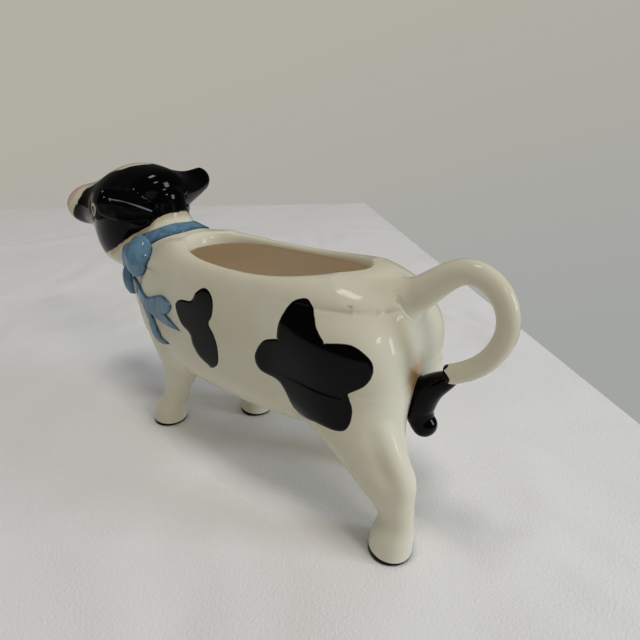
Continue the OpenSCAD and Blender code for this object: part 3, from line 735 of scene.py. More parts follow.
def make_piece(name, node, grids, paints, marks=None):
    """A dressed mesh object from grids of points p and normals n. What isn't in keep is left
    out, paint says which of the paints each row of faces has, and marks(points) gives attributes.
    Quads run between rows; a first or last row that is a pole becomes a fan's middle."""
    points, normals, corners, faces_paint = [], [], [], []
    start = 0
    for g in grids:
        rows, cols = g["p"].shape[:2]
        index = np.arange(rows * cols).reshape(rows, cols)
        for row, pole in ((0, "first"), (-1, "last")):
            if g.get(pole):
                index[row] = index[row, 0]
        i, j = np.meshgrid(np.arange(rows - 1), np.arange(cols), indexing="ij")
        k = (j + 1) % cols
        ring = [(i, j), (i + 1, j), (i + 1, k), (i, k)]
        keep = g.get("keep", np.ones((rows, cols), bool))
        held = np.all([keep[at] for at in ring], axis=0)
        quad = np.stack([index[at] for at in ring], -1)[held]
        paint = np.broadcast_to(np.reshape(g.get("paint", 0), (-1, 1)), held.shape)[held]
        flat_p, flat_n = g["p"].reshape(-1, 3), g["n"].reshape(-1, 3)
        side = np.cross(flat_p[quad[:, 2]] - flat_p[quad[:, 0]],
                        flat_p[quad[:, 3]] - flat_p[quad[:, 1]])
        if (side * flat_n[quad[:, 0]]).sum() < 0:
            quad = quad[:, ::-1]
        points.append(flat_p)
        normals.append(flat_n)
        corners.append(quad + start)
        faces_paint.append(paint)
        start += rows * cols
    points, normals, quads, paint = map(
        np.concatenate, (points, normals, corners, faces_paint))
    # Faces with a pole lose the corner that stands there twice
    double = np.roll(quads, -1, axis=1) == quads
    count = 4 - double.sum(1)
    real = count > 2
    quads, paint, double, count = quads[real], paint[real], double[real], count[real]
    loops = quads[~double]
    used = np.zeros(len(points), bool)
    used[loops] = True
    loops, points, normals = (np.cumsum(used) - 1)[loops], points[used], normals[used]

    mesh = bpy.data.meshes.new(name)
    mesh.vertices.add(len(points))
    metres = (points + [BODY_MIDDLE, 0, 0]) * MM
    mesh.vertices.foreach_set("co", metres.astype(np.float32).ravel())
    mesh.loops.add(len(loops))
    mesh.loops.foreach_set("vertex_index", loops.astype(np.int32))
    mesh.polygons.add(len(count))
    starts = np.concatenate([[0], np.cumsum(count)[:-1]])
    mesh.polygons.foreach_set("loop_start", starts.astype(np.int32))
    mesh.polygons.foreach_set("material_index", paint.astype(np.int32))
    mesh.polygons.foreach_set("use_smooth", np.ones(len(count), bool))
    mesh.update(calc_edges=True)
    for key in paints:
        mesh.materials.append(materials()[key])
    for key, value in (marks(points) if marks else {}).items():
        layer = mesh.attributes.new(key, "FLOAT", "POINT")
        layer.data.foreach_set("value", value.astype(np.float32))
    mesh.normals_split_custom_set_from_vertices(normals.astype(np.float32))
    piece = bpy.data.objects.new(name, mesh)
    bpy.context.scene.collection.objects.link(piece)
    dress(piece, node)


# ---------------------------------------------------------------------------- painted marks

# Outlines of the black patches seen from the side, forward and up from the body's middle
LEFT_PATCHES = [
    [(21.0, 67.0), (17.6, 69.2), (11.6, 70.2), (9.0, 73.6), (5.0, 76.0), (1.7, 75.0), (-0.1, 71.9),
     (0.4, 67.3), (2.2, 63.9), (-0.1, 60.5), (-1.6, 55.6), (-0.7, 49.5), (3.4, 46.4), (5.5, 47.3),
     (9.5, 49.3), (12.5, 53.3), (13.5, 57.1), (18.0, 59.7), (20.6, 63.7)],
    [(-31.5, 77.7), (-34.6, 80.0), (-38.2, 80.0), (-42.8, 73.8), (-46.9, 70.5), (-46.9, 70.5),
     (-54.2, 71.2), (-59.3, 67.9), (-60.6, 64.1), (-59.1, 59.9), (-54.6, 56.6), (-54.6, 56.6),
     (-56.3, 51.9), (-55.7, 46.4), (-52.6, 44.2), (-45.1, 44.1), (-36.1, 43.1), (-31.9, 49.6),
     (-28.5, 52.4), (-21.1, 53.5), (-18.9, 58.0), (-22.4, 64.2), (-28.2, 66.6), (-28.2, 66.6),
     (-28.6, 71.8)]]
RIGHT_PATCHES = [
    [(30, 64), (24, 70), (14, 72), (8, 67), (2, 62), (3, 55), (10, 52), (16, 46), (24, 47),
     (27, 54), (32, 58)],
    [(-22, 70), (-30, 76), (-38, 73), (-41, 66), (-50, 62), (-54, 54), (-48, 46), (-40, 48),
     (-34, 42), (-26, 45), (-27, 53), (-19, 58), (-18, 65)]]
# Edge between the white throat and the black head, seen from the side
HEAD_EDGE = [(20, 99), (50, 93), (52, 91.6), (54.2, 88.4), (57, 86.5), (60, 84.8), (63.8, 82.1),
             (70, 78.5), (76, 76), (84, 73), (100, 60)]
# Half width of the cream blaze, from the poll forward to the nose
BLAZE = ([62, 66, 72, 90, 98, 106, 112], [-5, 3, 8.4, 9.0, 7.0, 7, 14])
EYE, EYE_SIZE = (88.2, 92.2), (4.2, 2.9)    # Middle and half sizes of an eye, seen from the side
STAIN = (-66.5, 3.5, 56.5)                  # Where the tuft touches the rump
TAIL_END, TAIL_RUN = (-73.6, 0, 57.9), (-0.88, 0, 0.47)    # Edge of the black, and its way up
NOT_HERE = -9                               # Depth outside all patches


def outline_depth(outline, x, z):
    """Distance of points from a closed Catmull-Rom outline, positive inside: the least distance
    from its pieces, with the sign from how often a ray to one side crosses it."""
    knots = np.array(outline, float)
    a, b, c, d = (np.roll(knots, k, axis=0)[:, None] for k in (1, 0, -1, -2))
    f = np.linspace(0, 1, 6, endpoint=False)[None, :, None]
    path = (b + f * (c - a) / 2 + f ** 2 * (2 * a - 5 * b + 4 * c - d) / 2
            + f ** 3 * (3 * b - a - 3 * c + d) / 2).reshape(-1, 2)
    best, inside = np.full(len(x), 1e9), np.zeros(len(x), bool)
    for (sx, sz), (rx, rz) in zip(path, np.roll(path, -1, axis=0) - path):
        size = max(rx * rx + rz * rz, 1e-12)
        along = np.clip(((x - sx) * rx + (z - sz) * rz) / size, 0, 1)
        best = np.minimum(best, np.hypot(x - sx - along * rx, z - sz - along * rz))
        over = (sz > z) != (sz + rz > z)
        inside ^= over & (x < sx + (z - sz) * rx / (rz if abs(rz) > 1e-9 else 1e-9))
    return np.where(inside, best, -best)


def patch_marks(points):
    """Depth inside the black patches of each side, and the stain over the tuft."""
    x, y, z = points.T
    left, right = (np.max([outline_depth(o, x, z) for o in outlines], axis=0)
                   for outlines in (LEFT_PATCHES, RIGHT_PATCHES))
    stain = np.linalg.norm((points - STAIN) * [1, 0.8, 0.8], axis=1)
    return {"black": np.where(y > 0, left, right), "ochre": smooth(7.5, 1.5, stain) * 0.85}


def tail_marks(points):
    """Depth of the tuft's black that runs up the tail's end in teeth."""
    x, y, z = points.T
    along = (points - TAIL_END) @ np.array(TAIL_RUN)
    teeth = 1.2 * np.abs(np.sin(2.5 * np.arctan2(y, z - TAIL_END[2] - 1) + 0.6)) + 0.4
    return {"black": np.where((z < 66) & (x < -70), teeth - along, NOT_HERE)}


def head_marks(points):
    """Depth above the edge of the black head, less the cream blaze, the nose and the eyes."""
    x, y, z = points.T
    edge = np.array(HEAD_EDGE, float)
    black = (z - np.interp(x, edge[:, 0], edge[:, 1])) * 0.8
    blaze = np.where(z > 92, np.interp(x, *BLAZE) - np.abs(y), -20)
    nose = x - (107.5 + np.clip(96 - z, 0, 14) * 0.8)
    across, up = (x - EYE[0]) / EYE_SIZE[0], (z - EYE[1]) / EYE_SIZE[1]
    eye = (1 - np.hypot(across, up)) * 3.2
    pupil = (0.58 - np.hypot(across - 0.12, up)) * 3.2
    edging = smooth(-2.6, -0.4, black) * smooth(1.2, 0, black) * (x < 76) * 0.45
    black = np.minimum(black, -np.max([blaze, nose, eye], axis=0))
    return {"black": np.maximum(black, pupil), "pink": smooth(2.5, 7, nose), "ochre": edging}


# ---------------------------------------------------------------------------- materials

def add_node(tree, kind, inputs=None, **settings):
    """Adds a node. settings are its properties; inputs are socket values, or links where a
    value is a node (its first output) or a pair of node and output name."""
    node = tree.nodes.new(kind)
    for key, value in settings.items():
        setattr(node, key, value)
    for key, value in (inputs or {}).items():
        socket = node.inputs[key]
        if isinstance(value, bpy.types.Node):
            tree.links.new(value.outputs[0], socket)
        elif isinstance(value, tuple) and isinstance(value[0], bpy.types.Node):
            tree.links.new(value[0].outputs[value[1]], socket)
        else:
            socket.default_value = value
    return node


def blend_colour(tree, factor, a, b):
    """Colour a where factor is 0 and b where it is 1."""
    first, second, result = 6, 7, 2    # The Mix node's colour sockets share their names
    mixed = add_node(tree, "ShaderNodeMix", {"Factor": factor, first: a, second: b},
                     data_type="RGBA")
    return mixed, result


def noise(tree, where, size, detail, **more):
    """Noise whose coarsest spots have that size in metres."""
    return add_node(tree, "ShaderNodeTexNoise", {
        "Vector": where, "Scale": 1 / size, "Detail": detail, **more})


def ramp(tree, value, low, high, first=0.0, last=1.0, **settings):
    """Carries a value from low and high to first and last, and not beyond."""
    return add_node(tree, "ShaderNodeMapRange", {
        "Value": value, "From Min": low, "From Max": high, "To Min": first, "To Max": last},
        **settings)


def reckon(tree, operation, *values, **settings):
    return add_node(tree, "ShaderNodeMath", dict(enumerate(values)), operation=operation,
                    **settings)


def mark(tree, name):
    """A painted attribute of the surface."""
    return add_node(tree, "ShaderNodeAttribute", attribute_name=name), "Fac"


def new_material(name):
    """An empty material, its nodes and its Object coordinates."""
    material = bpy.data.materials.new(name)
    material.use_nodes = True
    tree = material.node_tree
    tree.nodes.clear()
    return material, tree, (add_node(tree, "ShaderNodeTexCoord"), "Object")


def shade(tree, colour_now, rough, gloss, height, relief=MM):
    """The material's shader: gloss is the specular level, relief a height of 1 in metres."""
    bump = add_node(tree, "ShaderNodeBump", {
        "Height": height, "Distance": relief, "Strength": 1.0})
    shader = add_node(tree, "ShaderNodeBsdfPrincipled", {
        "Base Color": colour_now, "Roughness": rough, "IOR": 1.5,
        "Specular IOR Level": gloss, "Normal": bump})
    add_node(tree, "ShaderNodeOutputMaterial", {"Surface": shader})


def glaze(name, ground, thick, rough=0.09, black=None, pink=None, wave=0.10, ochre=None,
          ragged_by=0.25, gloss=0.14):
    """Clear glossy glaze over an underglaze colour on cast earthenware: a hard even gloss with
    small sharp lamps in it, a faintly wavy skin, and a warmer tint where it has run thick.
    The black patches are painted thick and stand out a little, with a hand-painted edge."""
    material, tree, where = new_material(name)
    drift = noise(tree, where, 0.030, 2.0)
    colour_now = blend_colour(tree, ramp(tree, drift, 0.35, 0.70), ground, thick)
    waves = noise(tree, where, 0.014, 1.0, Roughness=0.4)
    height = reckon(tree, "MULTIPLY", waves, wave)
    for key, tone in (("pink", pink), ("ochre", ochre)):
        if tone is not None:
            colour_now = blend_colour(tree, mark(tree, key), colour_now, tone)
    if black is not None:
        ragged = noise(tree, where, 0.0022, 3.0, Roughness=0.6)
        shift = reckon(tree, "MULTIPLY_ADD", ragged, ragged_by, -ragged_by / 2)
        depth = reckon(tree, "ADD", mark(tree, "black"), shift)
        painted, raised = (
            ramp(tree, depth, *span, interpolation_type="SMOOTHSTEP")
            for span in ((-0.10, 0.16), (-0.15, 0.9, 0.0, 0.22)))
        height = reckon(tree, "ADD", height, raised)
        colour_now = blend_colour(tree, painted, colour_now, black)
    smear = ramp(tree, waves, 0.0, 1.0, rough * 0.7, rough * 1.4)
    shade(tree, colour_now, smear, gloss, height)
    return material


def brushed_glaze(name, light, deep):
    """Blue glaze put on by brush: streaks of thin and thick colour that run with the ribbon,
    and a darker line where it has pooled at the ribbon's foot."""
    material, tree, where = new_material(name)
    stretch = add_node(tree, "ShaderNodeMapping", {
        "Vector": where, "Rotation": (0.3, 0.5, 0.2), "Scale": (1.0, 1.0, 0.35)})
    streak = noise(tree, stretch, 0.0032, 2.0, Roughness=0.6)
    foot = ramp(tree, mark(tree, "height"), 0.15, 1.0, 0.9, 0.0)
    thick = ramp(tree, streak, 0.42, 0.80, 0.0, 0.6)
    total = reckon(tree, "ADD", foot, thick, use_clamp=True)
    shade(tree, blend_colour(tree, total, light, deep), 0.08, 0.5, streak, 0.25 * MM)
    return material


def woven_cloth(name, tone):
    """Pale cotton: a fine even weave on wide soft folds, with hardly any gloss."""
    material, tree, where = new_material(name)
    folds = noise(tree, where, 0.11, 2.0, Distortion=0.6)
    weave = noise(tree, where, 0.0009, 2.0)
    total = reckon(tree, "MULTIPLY_ADD", folds, 9.0, reckon(tree, "MULTIPLY", weave, 0.22))
    shade(tree, tone, 0.9, 0.2, total)
    return material


MATERIALS = {}


def materials():
    """All glazes, made once."""
    if not MATERIALS:
        group = bpy.context.scene.cow_colours
        c = SimpleNamespace(**{
            key: tuple(getattr(group, key)) for key in CowColours.__annotations__})
        paint = dict(ground=c.white, thick=c.thick, black=c.black)
        MATERIALS.update(
            white=glaze("Cream glaze on earthenware", ochre=c.ochre, **paint),
            plain=glaze("Cream glaze", ragged_by=0.6, **paint),
            # The inside's colour is painted warm bounce light on the cream glaze
            inside=glaze("Honey glaze", c.inside, c.inside, rough=0.16),
            head=glaze("Black and cream glaze", ochre=c.ochre, pink=c.pink, ragged_by=0.7,
                       **paint),
            black=glaze("Black glaze", c.black, c.black, rough=0.07, wave=0.16, gloss=0.12),
            ribbon=brushed_glaze("Blue glaze", c.blue, c.blue_deep))
    return MATERIALS


# ---------------------------------------------------------------------------- pieces

class COW_OT_body(bpy.types.Operator):
    """Body: superellipse rings from the belly's pole to the rim. The lip is a quarter round,
    edge + (top - edge) (1 - sin t, cos t), and the hollow runs down from it, less the wall"""
    bl_idname = "cow_creamer.body"
    bl_label = "Body"
    FRONT_LIP = [-1.6, 0, -3.2]    # How far the lip is drawn in at the front, in mm
    FRONT_RUN = 22                 # Depth over which that fades out inside, in mm

    def execute(self, context):
        s, skin = cow_sizes(), skin_of_cow()
        a = even_angles(400, Barrel.POWER)
        outer = settled(skin, "body", barrel_grid(skin.forms["body"], a, 80), first=True)
        top = outer["p"][-1]
        inner = hollow_form(s)
        front = np.clip(np.cos(a), 0, 1)[:, None] ** 2 * self.FRONT_LIP
        edge = inner.over(np.ones_like(a), a) + front
        t = np.linspace(0, 1, 10)[1:] * math.pi / 2
        lip = edge + (top - edge) * np.stack(
            [1 - np.sin(t), 1 - np.sin(t), np.cos(t)], -1)[:, None]
        inside = barrel_grid(inner, a, 50)[::-1]
        inside = inside + front * smooth(s.rim_h - self.FRONT_RUN, s.rim_h, inside[..., 2:])
        hollow = np.concatenate([top[None], lip, inside[1:]])
        n = grid_normals(hollow)
        centre = np.array([-s.opening_back, 0, s.body_mid_h])
        n = turned(n, n[20:60], centre - hollow[20:60])
        n[0] = outer["n"][-1]
        # The outer glaze runs over the lip and ends just below its edge
        paint = (np.arange(len(hollow) - 1) >= 8).astype(int)
        rim = dict(p=hollow, n=n, last=True, paint=paint)
        make_piece("jug_body", "body_shell", [outer, rim], ["white", "inside"],
                   patch_marks)
        return {"FINISHED"}


class COW_OT_neck(bpy.types.Operator):
    """Neck: elliptical rings along a leaning spline, up to the edge of the black head"""
    bl_idname = "cow_creamer.neck"
    bl_label = "Neck"

    def execute(self, context):
        skin = skin_of_cow()
        grid = tube(skin, "neck", (0, 110, HEAD_BEGINS), 220)
        make_piece("jug_neck", "neck", [grid], ["head"], head_marks)
        return {"FINISHED"}


class COW_OT_head(bpy.types.Operator):
    """Head and nose end: elliptical rings along the head's spline. The last ring rolls in,
    ring + depth (1 - cos t), and runs back as the round mouth hole"""
    bl_idname = "cow_creamer.head"
    bl_label = "Head"
    MOUTH_LEAN = math.radians(96)    # The hole's axis, from upright
    MOUTH_ROLL = 1.2                 # Radius of the rolled edge, in mm
    MOUTH_DEPTH = 14                 # How far the hole can be seen into, in mm

    def execute(self, context):
        s, skin = cow_sizes(), skin_of_cow()
        upper = tube(skin, "neck", (HEAD_BEGINS, 80, 1), 220)
        skull = tube(skin, "head", (-1, 16, 0, 130, MUZZLE_BEGINS), 220, first=True)
        make_piece("jug_head", "head", [upper, skull], ["head"], head_marks)
        end = tube(skin, "head", (MUZZLE_BEGINS, 40, 1, 14, 1.75), 220)
        rim = end["p"][-1]
        middle = rim.mean(0)
        inward = unit(rim - middle)
        axis = unit(np.array([math.sin(self.MOUTH_LEAN), 0, math.cos(self.MOUTH_LEAN)]))
        ring = middle + unit(inward - (inward @ axis)[:, None] * axis) * s.spout_d / 2
        roll = np.linspace(0, 1, 8)[1:, None, None] * math.pi / 2
        mouth = rim + (ring - rim) * np.sin(roll) - axis * self.MOUTH_ROLL * (1 - np.cos(roll))
        depth = np.linspace(0, 1, 16)[1:, None, None] * self.MOUTH_DEPTH
        hole = np.concatenate([rim[None], mouth, ring - axis * (self.MOUTH_ROLL + depth)])
        n = grid_normals(hole)
        n = turned(n, n[-4:], middle - hole[-4:])
        n[0] = end["n"][-1]
        make_piece("jug_nose", "muzzle", [end, dict(p=hole, n=n)], ["head"],
                   head_marks)
        return {"FINISHED"}


class COW_OT_ears(bpy.types.Operator):
    """Both ears: elliptical rings along a straight spline, cupped by the square of the width,
    with half an ellipsoid as the tip"""
    bl_idname = "cow_creamer.ears"
    bl_label = "Ears"

    def execute(self, context):
        skin = skin_of_cow()
        for name in ("left_ear", "right_ear"):
            grid = tube(skin, name, (0, 90, 1, 16, 2), 130, last=True)
            make_piece("jug_" + name, name, [grid], ["black"])
        return {"FINISHED"}


def seam_share(s, form, a):
    """How far up the leg the black sole ends at each angle: its height runs from the heel's
    to the toe's with (1 + cos a) / 2."""
    height = mix(s.heel_h, s.toe_h, (1 + np.cos(a)) / 2)
    return np.interp(height, form.table[:, 2], np.linspace(0, 1, Swept.STATIONS))


class COW_OT_legs(bpy.types.Operator):
    """The four legs: level elliptical rings along a spline from the sole's edge to the haunch
    or the shoulder, with half an ellipsoid on top; the hind ones also have a hock"""
    bl_idname = "cow_creamer.legs"
    bl_label = "Legs"

    def execute(self, context):
        s, skin = cow_sizes(), skin_of_cow()
        a = even_angles(180)
        for leg in hooves(s):
            form = skin.forms[leg]
            rows = runs(0, 150, 1, 12, 2)[:, None]
            t = np.where(rows < 1, mix(seam_share(s, form, a), 1, rows), rows)
            grids = [settled(skin, leg, form.surface(t, a), last=True)]
            hock = leg.replace("hind", "hock")
            if hock != leg:
                grids.append(tube(skin, hock, (-1, 8, 0, 50, 1, 8, 2), 60,
                                  first=True, last=True))
            make_piece("jug_%s_leg" % leg, leg + "_leg", grids, ["white"],
                       patch_marks)
        return {"FINISHED"}


class COW_OT_hooves(bpy.types.Operator):
    """The black soles: the legs' rings below the seam, with a round arris of radius r between
    wall and sole, inset r (1 - sqrt(1 - (1 - z/r)^2))"""
    bl_idname = "cow_creamer.hooves"
    bl_label = "Hooves"
    ARRIS = 0.7    # Radius of the sole's edge, in mm

    def execute(self, context):
        s, skin = cow_sizes(), skin_of_cow()
        a = even_angles(180)
        for leg in hooves(s):
            form = skin.forms[leg]
            wall = form.surface(np.linspace(0, 1, 12)[:, None] * seam_share(s, form, a), a)
            middle = wall[0].mean(0)
            away = np.clip(wall[..., 2:] / self.ARRIS, 0, 1)
            inset = self.ARRIS * (1 - np.sqrt(1 - (1 - away) ** 2))
            wall = wall - unit((wall - middle) * [1, 1, 0]) * inset
            disc = middle + (wall[0] - middle) * np.linspace(0, 1, 12)[:-1, None, None]
            p = np.concatenate([disc, wall])
            n = grid_normals(p)
            n = turned(n, n[2, 0], np.array([0, 0, -1]))
            make_piece("jug_%s_hoof" % leg, leg + "_hoof",
                       [dict(p=p, n=n, first=True)], ["black"])
        return {"FINISHED"}


class COW_OT_tail(bpy.types.Operator):
    """The tail's handle and its tuft: round rings along the loop's spline, with half an
    ellipsoid at the tuft's ends"""
    bl_idname = "cow_creamer.tail"
    bl_label = "Tail"

    def execute(self, context):
        skin = skin_of_cow()
        grid = tube(skin, "tail", (0, 260, 1), 110)
        make_piece("jug_tail", "tail_handle", [grid], ["plain"], tail_marks)
        grid = tube(skin, "tuft", (-1, 10, 0, 110, 1, 14, 2), 110, first=True, last=True)
        make_piece("jug_tuft", "tail_tuft", [grid], ["black"])
        return {"FINISHED"}


def bow_forms(s):
    """The knot, which is an ellipsoid, and the two loops."""
    knot = np.array([s.neck_fwd + KNOT[0] * s.neck_l, KNOT[1] * s.neck_w / 2,
                     s.neck_h - KNOT[2] * s.neck_l])
    steps = np.linspace(-0.85, 0.85, 11)[:, None]
    girth = np.sqrt(1 - steps ** 2)

    def pillow(middle, height, up, out, half_width, half_depth):
        """Ellipsoid whose length runs along up, carried so that out is its depth."""
        sizes = np.hstack([girth * half_depth, girth * half_width])
        return strand(np.hstack([middle + steps * np.asarray(up) * height, sizes]), out,
                      (0.15 * height, 0.15 * height))

    front, back = np.array(FRONT_LOOP), np.array(BACK_LOOP)
    return {
        "front_loop": strand(np.hstack([
            knot + front[:, :3] * s.bow_l, front[:, 3:4] * s.bow_h / 2,
            front[:, 4:] * s.bow_t / 2]), (0, 0, 1), (1.2, 1.2)),
        "knot": pillow(knot + KNOT_SHIFT, s.knot_h * 0.55, (0.2, -0.1, 0.97),
                       (0, 1, 0), s.knot_w * 0.42, s.knot_w * 0.42),
        "back_loop": pillow(back[:3] * [s.body_l / 2, s.body_w / 2, s.rim_h],
                            back[4] * s.bow_h, LOOP_UP, LOOP_OUT, back[3] * s.bow_h,
                            back[5] * s.bow_h)}


def ribbon_band(s, skin):
    """The band: a flat superellipse carried round the neck and raised from its skin."""
    neck = skin.forms["neck"]
    section, around = even_angles(36, 4.0), even_angles(260)
    along, out = bulge(np.cos(section), 0.5)[:, None], bulge(np.sin(section), 0.5)[:, None, None]
    wave = 1 + 0.08 * np.sin(5 * around + 1) + 0.05 * np.sin(9 * around)
    width = 1.55 * s.ribbon_w * along * wave
    dip = 0.19 * smooth(-0.3, 0.5, np.cos(around))
    t = RIBBON_PLACE - dip + width / 2 / (NECK_RUN * s.neck_l)
    on_neck = tube_grid(neck, RIBBON_PLACE + np.array([-0.02, 0, 0.02]), 260)
    way = facing(neck, on_neck, grid_normals(on_neck))[1]
    base = neck.surface(t, around)
    flat, normal, _ = skin.settle("neck", base, np.broadcast_to(way, base.shape), whole=True)
    thick = s.ribbon_t * (0.85 + 0.3 * (1 - along[..., None] ** 2))
    band = (flat + normal * out * thick).transpose(1, 0, 2)
    band = np.concatenate([band, band[:1]])
    n = grid_normals(band)
    n = turned(n, n[:-1], (normal * out).transpose(1, 0, 2))
    n[0] = n[-1] = unit(n[0] + n[-1])
    return dict(p=band, n=n)


def ribbon_strip(s, skin, shares):
    """Ribbon on the cow: a strip of half width b along the run c is dropped onto the skin,
    then raised by the ribbon's thickness times a superellipse section."""
    k = through(np.array(shares), runs(0, 110, 1))
    middle = k[:, :3] * [s.body_l / 2, s.body_w / 2, s.rim_h]
    way = unit((middle - [s.shoulder_fwd, 0, 0]) * [1, 1, 0])
    side = unit(np.cross(unit(np.gradient(middle, axis=0)), way))
    half = np.maximum(k[:, 3], 0.01)[:, None] * s.ribbon_w
    section = even_angles(40, 3.0)
    across, out = (bulge(f(section), 2 / 3)[None, :, None] for f in (np.cos, np.sin))
    base = middle[:, None] + (side * half)[:, None] * across
    flat, normal, _ = skin.settle("body", base, np.broadcast_to(way[:, None], base.shape),
                                  whole=True)
    # Thinner where it is narrow, and a little thicker towards its edges
    thick = s.ribbon_t * np.clip(half / 1.2, 0.02, 1)[:, None] * out
    p = flat + normal * (thick * (1 + 0.25 * across ** 2))
    n = grid_normals(p)
    return dict(p=p, n=turned(n, n * normal, out), first=True, last=True)


class COW_OT_ribbon(bpy.types.Operator):
    """Ribbon: a flat superellipse section on the filleted skin, round the neck and down the
    shoulder, with ellipsoids for the knot and the back loop and a swept tube for the front one"""
    bl_idname = "cow_creamer.ribbon"
    bl_label = "Ribbon"

    def execute(self, context):
        s, skin = cow_sizes(), skin_of_cow()
        under = ("body", "neck", "front_left")
        forms = bow_forms(s)
        bow = Skin({**skin.forms, **forms}, {(a, b): 1.2 for a in forms for b in under})

        def heights(points):
            """How far the ribbon stands over the cow's skin."""
            masks = {name: np.ones(len(points), bool) for name in under}
            return {"height": skin.union(points, masks)[2]}

        def loop(name):
            return tube(bow, name, (-1, 12, 0, 90, 1, 12, 2), 80, first=True, last=True)

        for name, node, grids in (
                ("jug_ribbon", "ribbon_band", [ribbon_band(s, skin)]),
                ("jug_bow_knot", "bow_knot", [loop("knot")]),
                ("jug_back_loop", "back_bow_loop", [loop("back_loop")]),
                ("jug_front_loop", "front_bow_loop", [loop("front_loop")]),
                ("jug_short_end", "short_ribbon_end",
                 [ribbon_strip(s, skin, SHORT_END), ribbon_strip(s, skin, SHORT_FORK)]),
                ("jug_long_end", "long_ribbon_end", [ribbon_strip(s, skin, LONG_END)])):
            make_piece(name, node, grids, ["ribbon"], heights)
        return {"FINISHED"}


# ---------------------------------------------------------------------------- stage

# Rectangular lamps: name, place, width, height, watts and colour. All point at the cow.
LAMPS = (
    ("Window", (-1.09, -0.44, 0.34), 0.30, 0.42, 5.5, "#e0edff"),
    ("Ceiling lamp", (0.0, 0.2, 3.4), 0.80, 0.80, 29.0, "#fdfaf3"),
    ("Tube One", (-1.30, 0.24, 0.92), 0.30, 0.04, 1.5, "#fff6e8"),
    ("Tube Two", (-1.30, 0.24, 0.92 + 0.12), 0.30, 0.04, 1.5, "#fff6e8"))
LAMP_TARGET = (0, 0, 0.05)

# The cloth's near corner in mm and the directions of its two edges, and its mesh
CLOTH_CORNER, CLOTH_FAR, CLOTH_NEAR = (308, -578.0), (0.72, 0.69), (-0.69, 0.72)
CLOTH_EDGE, CLOTH_ROWS = 2600, 60


def make_cloth(scene, tone):
    """The cloth: a square table seen towards its far corner."""
    steps = np.linspace(0, CLOTH_EDGE, CLOTH_ROWS)
    x, y = (CLOTH_CORNER[i] + CLOTH_FAR[i] * steps[:, None] + CLOTH_NEAR[i] * steps[None]
            for i in (0, 1))
    verts = np.stack([x, y, np.zeros_like(x)], -1).reshape(-1, 3) * MM
    last = np.arange(CLOTH_ROWS - 1)
    i = (last[:, None] * CLOTH_ROWS + last[None]).reshape(-1)
    faces = np.stack([i, i + CLOTH_ROWS, i + CLOTH_ROWS + 1, i + 1], 1)
    mesh = bpy.data.meshes.new("cloth")
    mesh.from_pydata(verts.tolist(), [], faces.tolist())
    mesh.materials.append(woven_cloth("Woven cotton cloth", tone))
    cloth = bpy.data.objects.new("cloth", mesh)
    scene.collection.objects.link(cloth)


def make_room(scene, wall, wall_painted_shade):
    """Daylight that is brightest from one side above, a dim room for reflections,
    and the wall that the camera sees, with painted shade that makes it darker and cooler on the
    right."""
    scene.world = bpy.data.worlds.new("Room")
    scene.world.use_nodes = True
    tree = scene.world.node_tree
    tree.nodes.clear()
    path, where = add_node(tree, "ShaderNodeLightPath"), add_node(tree, "ShaderNodeTexCoord")

    def towards(direction):
        return add_node(tree, "ShaderNodeVectorMath", {
            0: (where, "Generated"), 1: direction}, operation="DOT_PRODUCT"), "Value"

    def background(tone, strength):
        return add_node(tree, "ShaderNodeBackground", {"Color": tone, "Strength": strength})

    light = ramp(tree, towards((0.30, -0.45, 0.84)), -0.5, 0.9, 0.11, 0.44)
    # Share of the wall's painted shade, growing towards the right
    side = ramp(tree, towards((-0.25, -0.19, -1.0)), -0.15, 0.5)
    lit = add_node(tree, "ShaderNodeMixShader", {
        0: (path, "Is Glossy Ray"), 1: background(linear("#dcdcdb"), light),
        2: background(linear("#dcdcd8"), 0.08)})
    shown = add_node(tree, "ShaderNodeMixShader", {
        0: (path, "Is Camera Ray"), 1: lit,
        2: background(blend_colour(tree, side, wall, wall_painted_shade), 1.0)})
    add_node(tree, "ShaderNodeOutputWorld", {"Surface": shown})


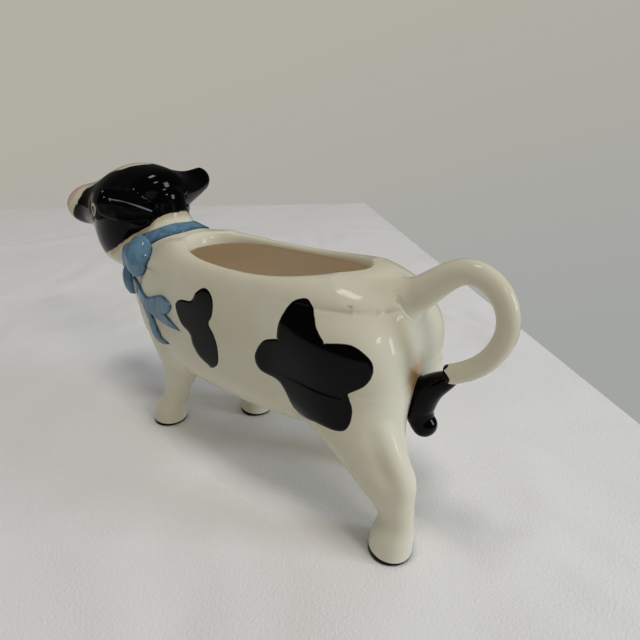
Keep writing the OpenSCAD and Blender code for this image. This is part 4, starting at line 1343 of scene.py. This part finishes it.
class COW_OT_stage(bpy.types.Operator):
    """Cloth, backdrop, lamps and camera"""
    bl_idname = "cow_creamer.stage"
    bl_label = "Stage"

    def execute(self, context):
        scene, c = context.scene, context.scene.cow_colours
        scene.view_settings.view_transform = "Standard"
        make_cloth(scene, tuple(c.cloth))
        make_room(scene, tuple(c.wall), tuple(c.wall_painted_shade))
        for name, place, width, height, watts, tone in LAMPS:
            data = bpy.data.lights.new(name, "AREA")
            data.shape, data.size, data.size_y = "RECTANGLE", width, height
            data.energy, data.color = watts, linear(tone)[:3]
            light = bpy.data.objects.new(name, data)
            scene.collection.objects.link(light)
            light.location = place
            aim = Vector(LAMP_TARGET) - Vector(place)
            light.rotation_euler = aim.to_track_quat("-Z", "Y").to_euler()

        camera = bpy.data.cameras.new("Camera")
        camera.lens, camera.sensor_width = 27, 36
        camera.clip_start = 0.01
        view = bpy.data.objects.new("Camera", camera)
        view.location = (-0.1351, 0.1235, 0.128)
        view.rotation_euler = (math.radians(67.5), 0, math.radians(217.5))
        scene.collection.objects.link(view)
        scene.camera = view
        return {"FINISHED"}


class COW_PT_panel(bpy.types.Panel):
    """Lists the pieces and their sizes"""
    bl_label = "Cow creamer"
    bl_idname = "COW_PT_panel"
    bl_space_type = "VIEW_3D"
    bl_region_type = "UI"
    bl_category = "Cow creamer"

    def draw(self, context):
        for step in STEPS:
            self.layout.operator(step.bl_idname)
        for group in (context.scene.cow_sizes, context.scene.cow_colours):
            for key in type(group).__annotations__:
                self.layout.prop(group, key)


STEPS = (COW_OT_stage, COW_OT_body, COW_OT_neck, COW_OT_head, COW_OT_ears, COW_OT_legs,
         COW_OT_hooves, COW_OT_tail, COW_OT_ribbon)
CLASSES = (CowSizes, CowColours) + STEPS + (COW_PT_panel,)


def register():
    for cls in CLASSES:
        bpy.utils.register_class(cls)
    bpy.types.Scene.cow_sizes = bpy.props.PointerProperty(type=CowSizes)
    bpy.types.Scene.cow_colours = bpy.props.PointerProperty(type=CowColours)


def unregister():
    del bpy.types.Scene.cow_sizes, bpy.types.Scene.cow_colours
    for cls in reversed(CLASSES):
        bpy.utils.unregister_class(cls)


def main():
    register()
    for step in STEPS:
        group, name = step.bl_idname.split(".")
        getattr(getattr(bpy.ops, group), name)()


if __name__ == "__main__":
    main()
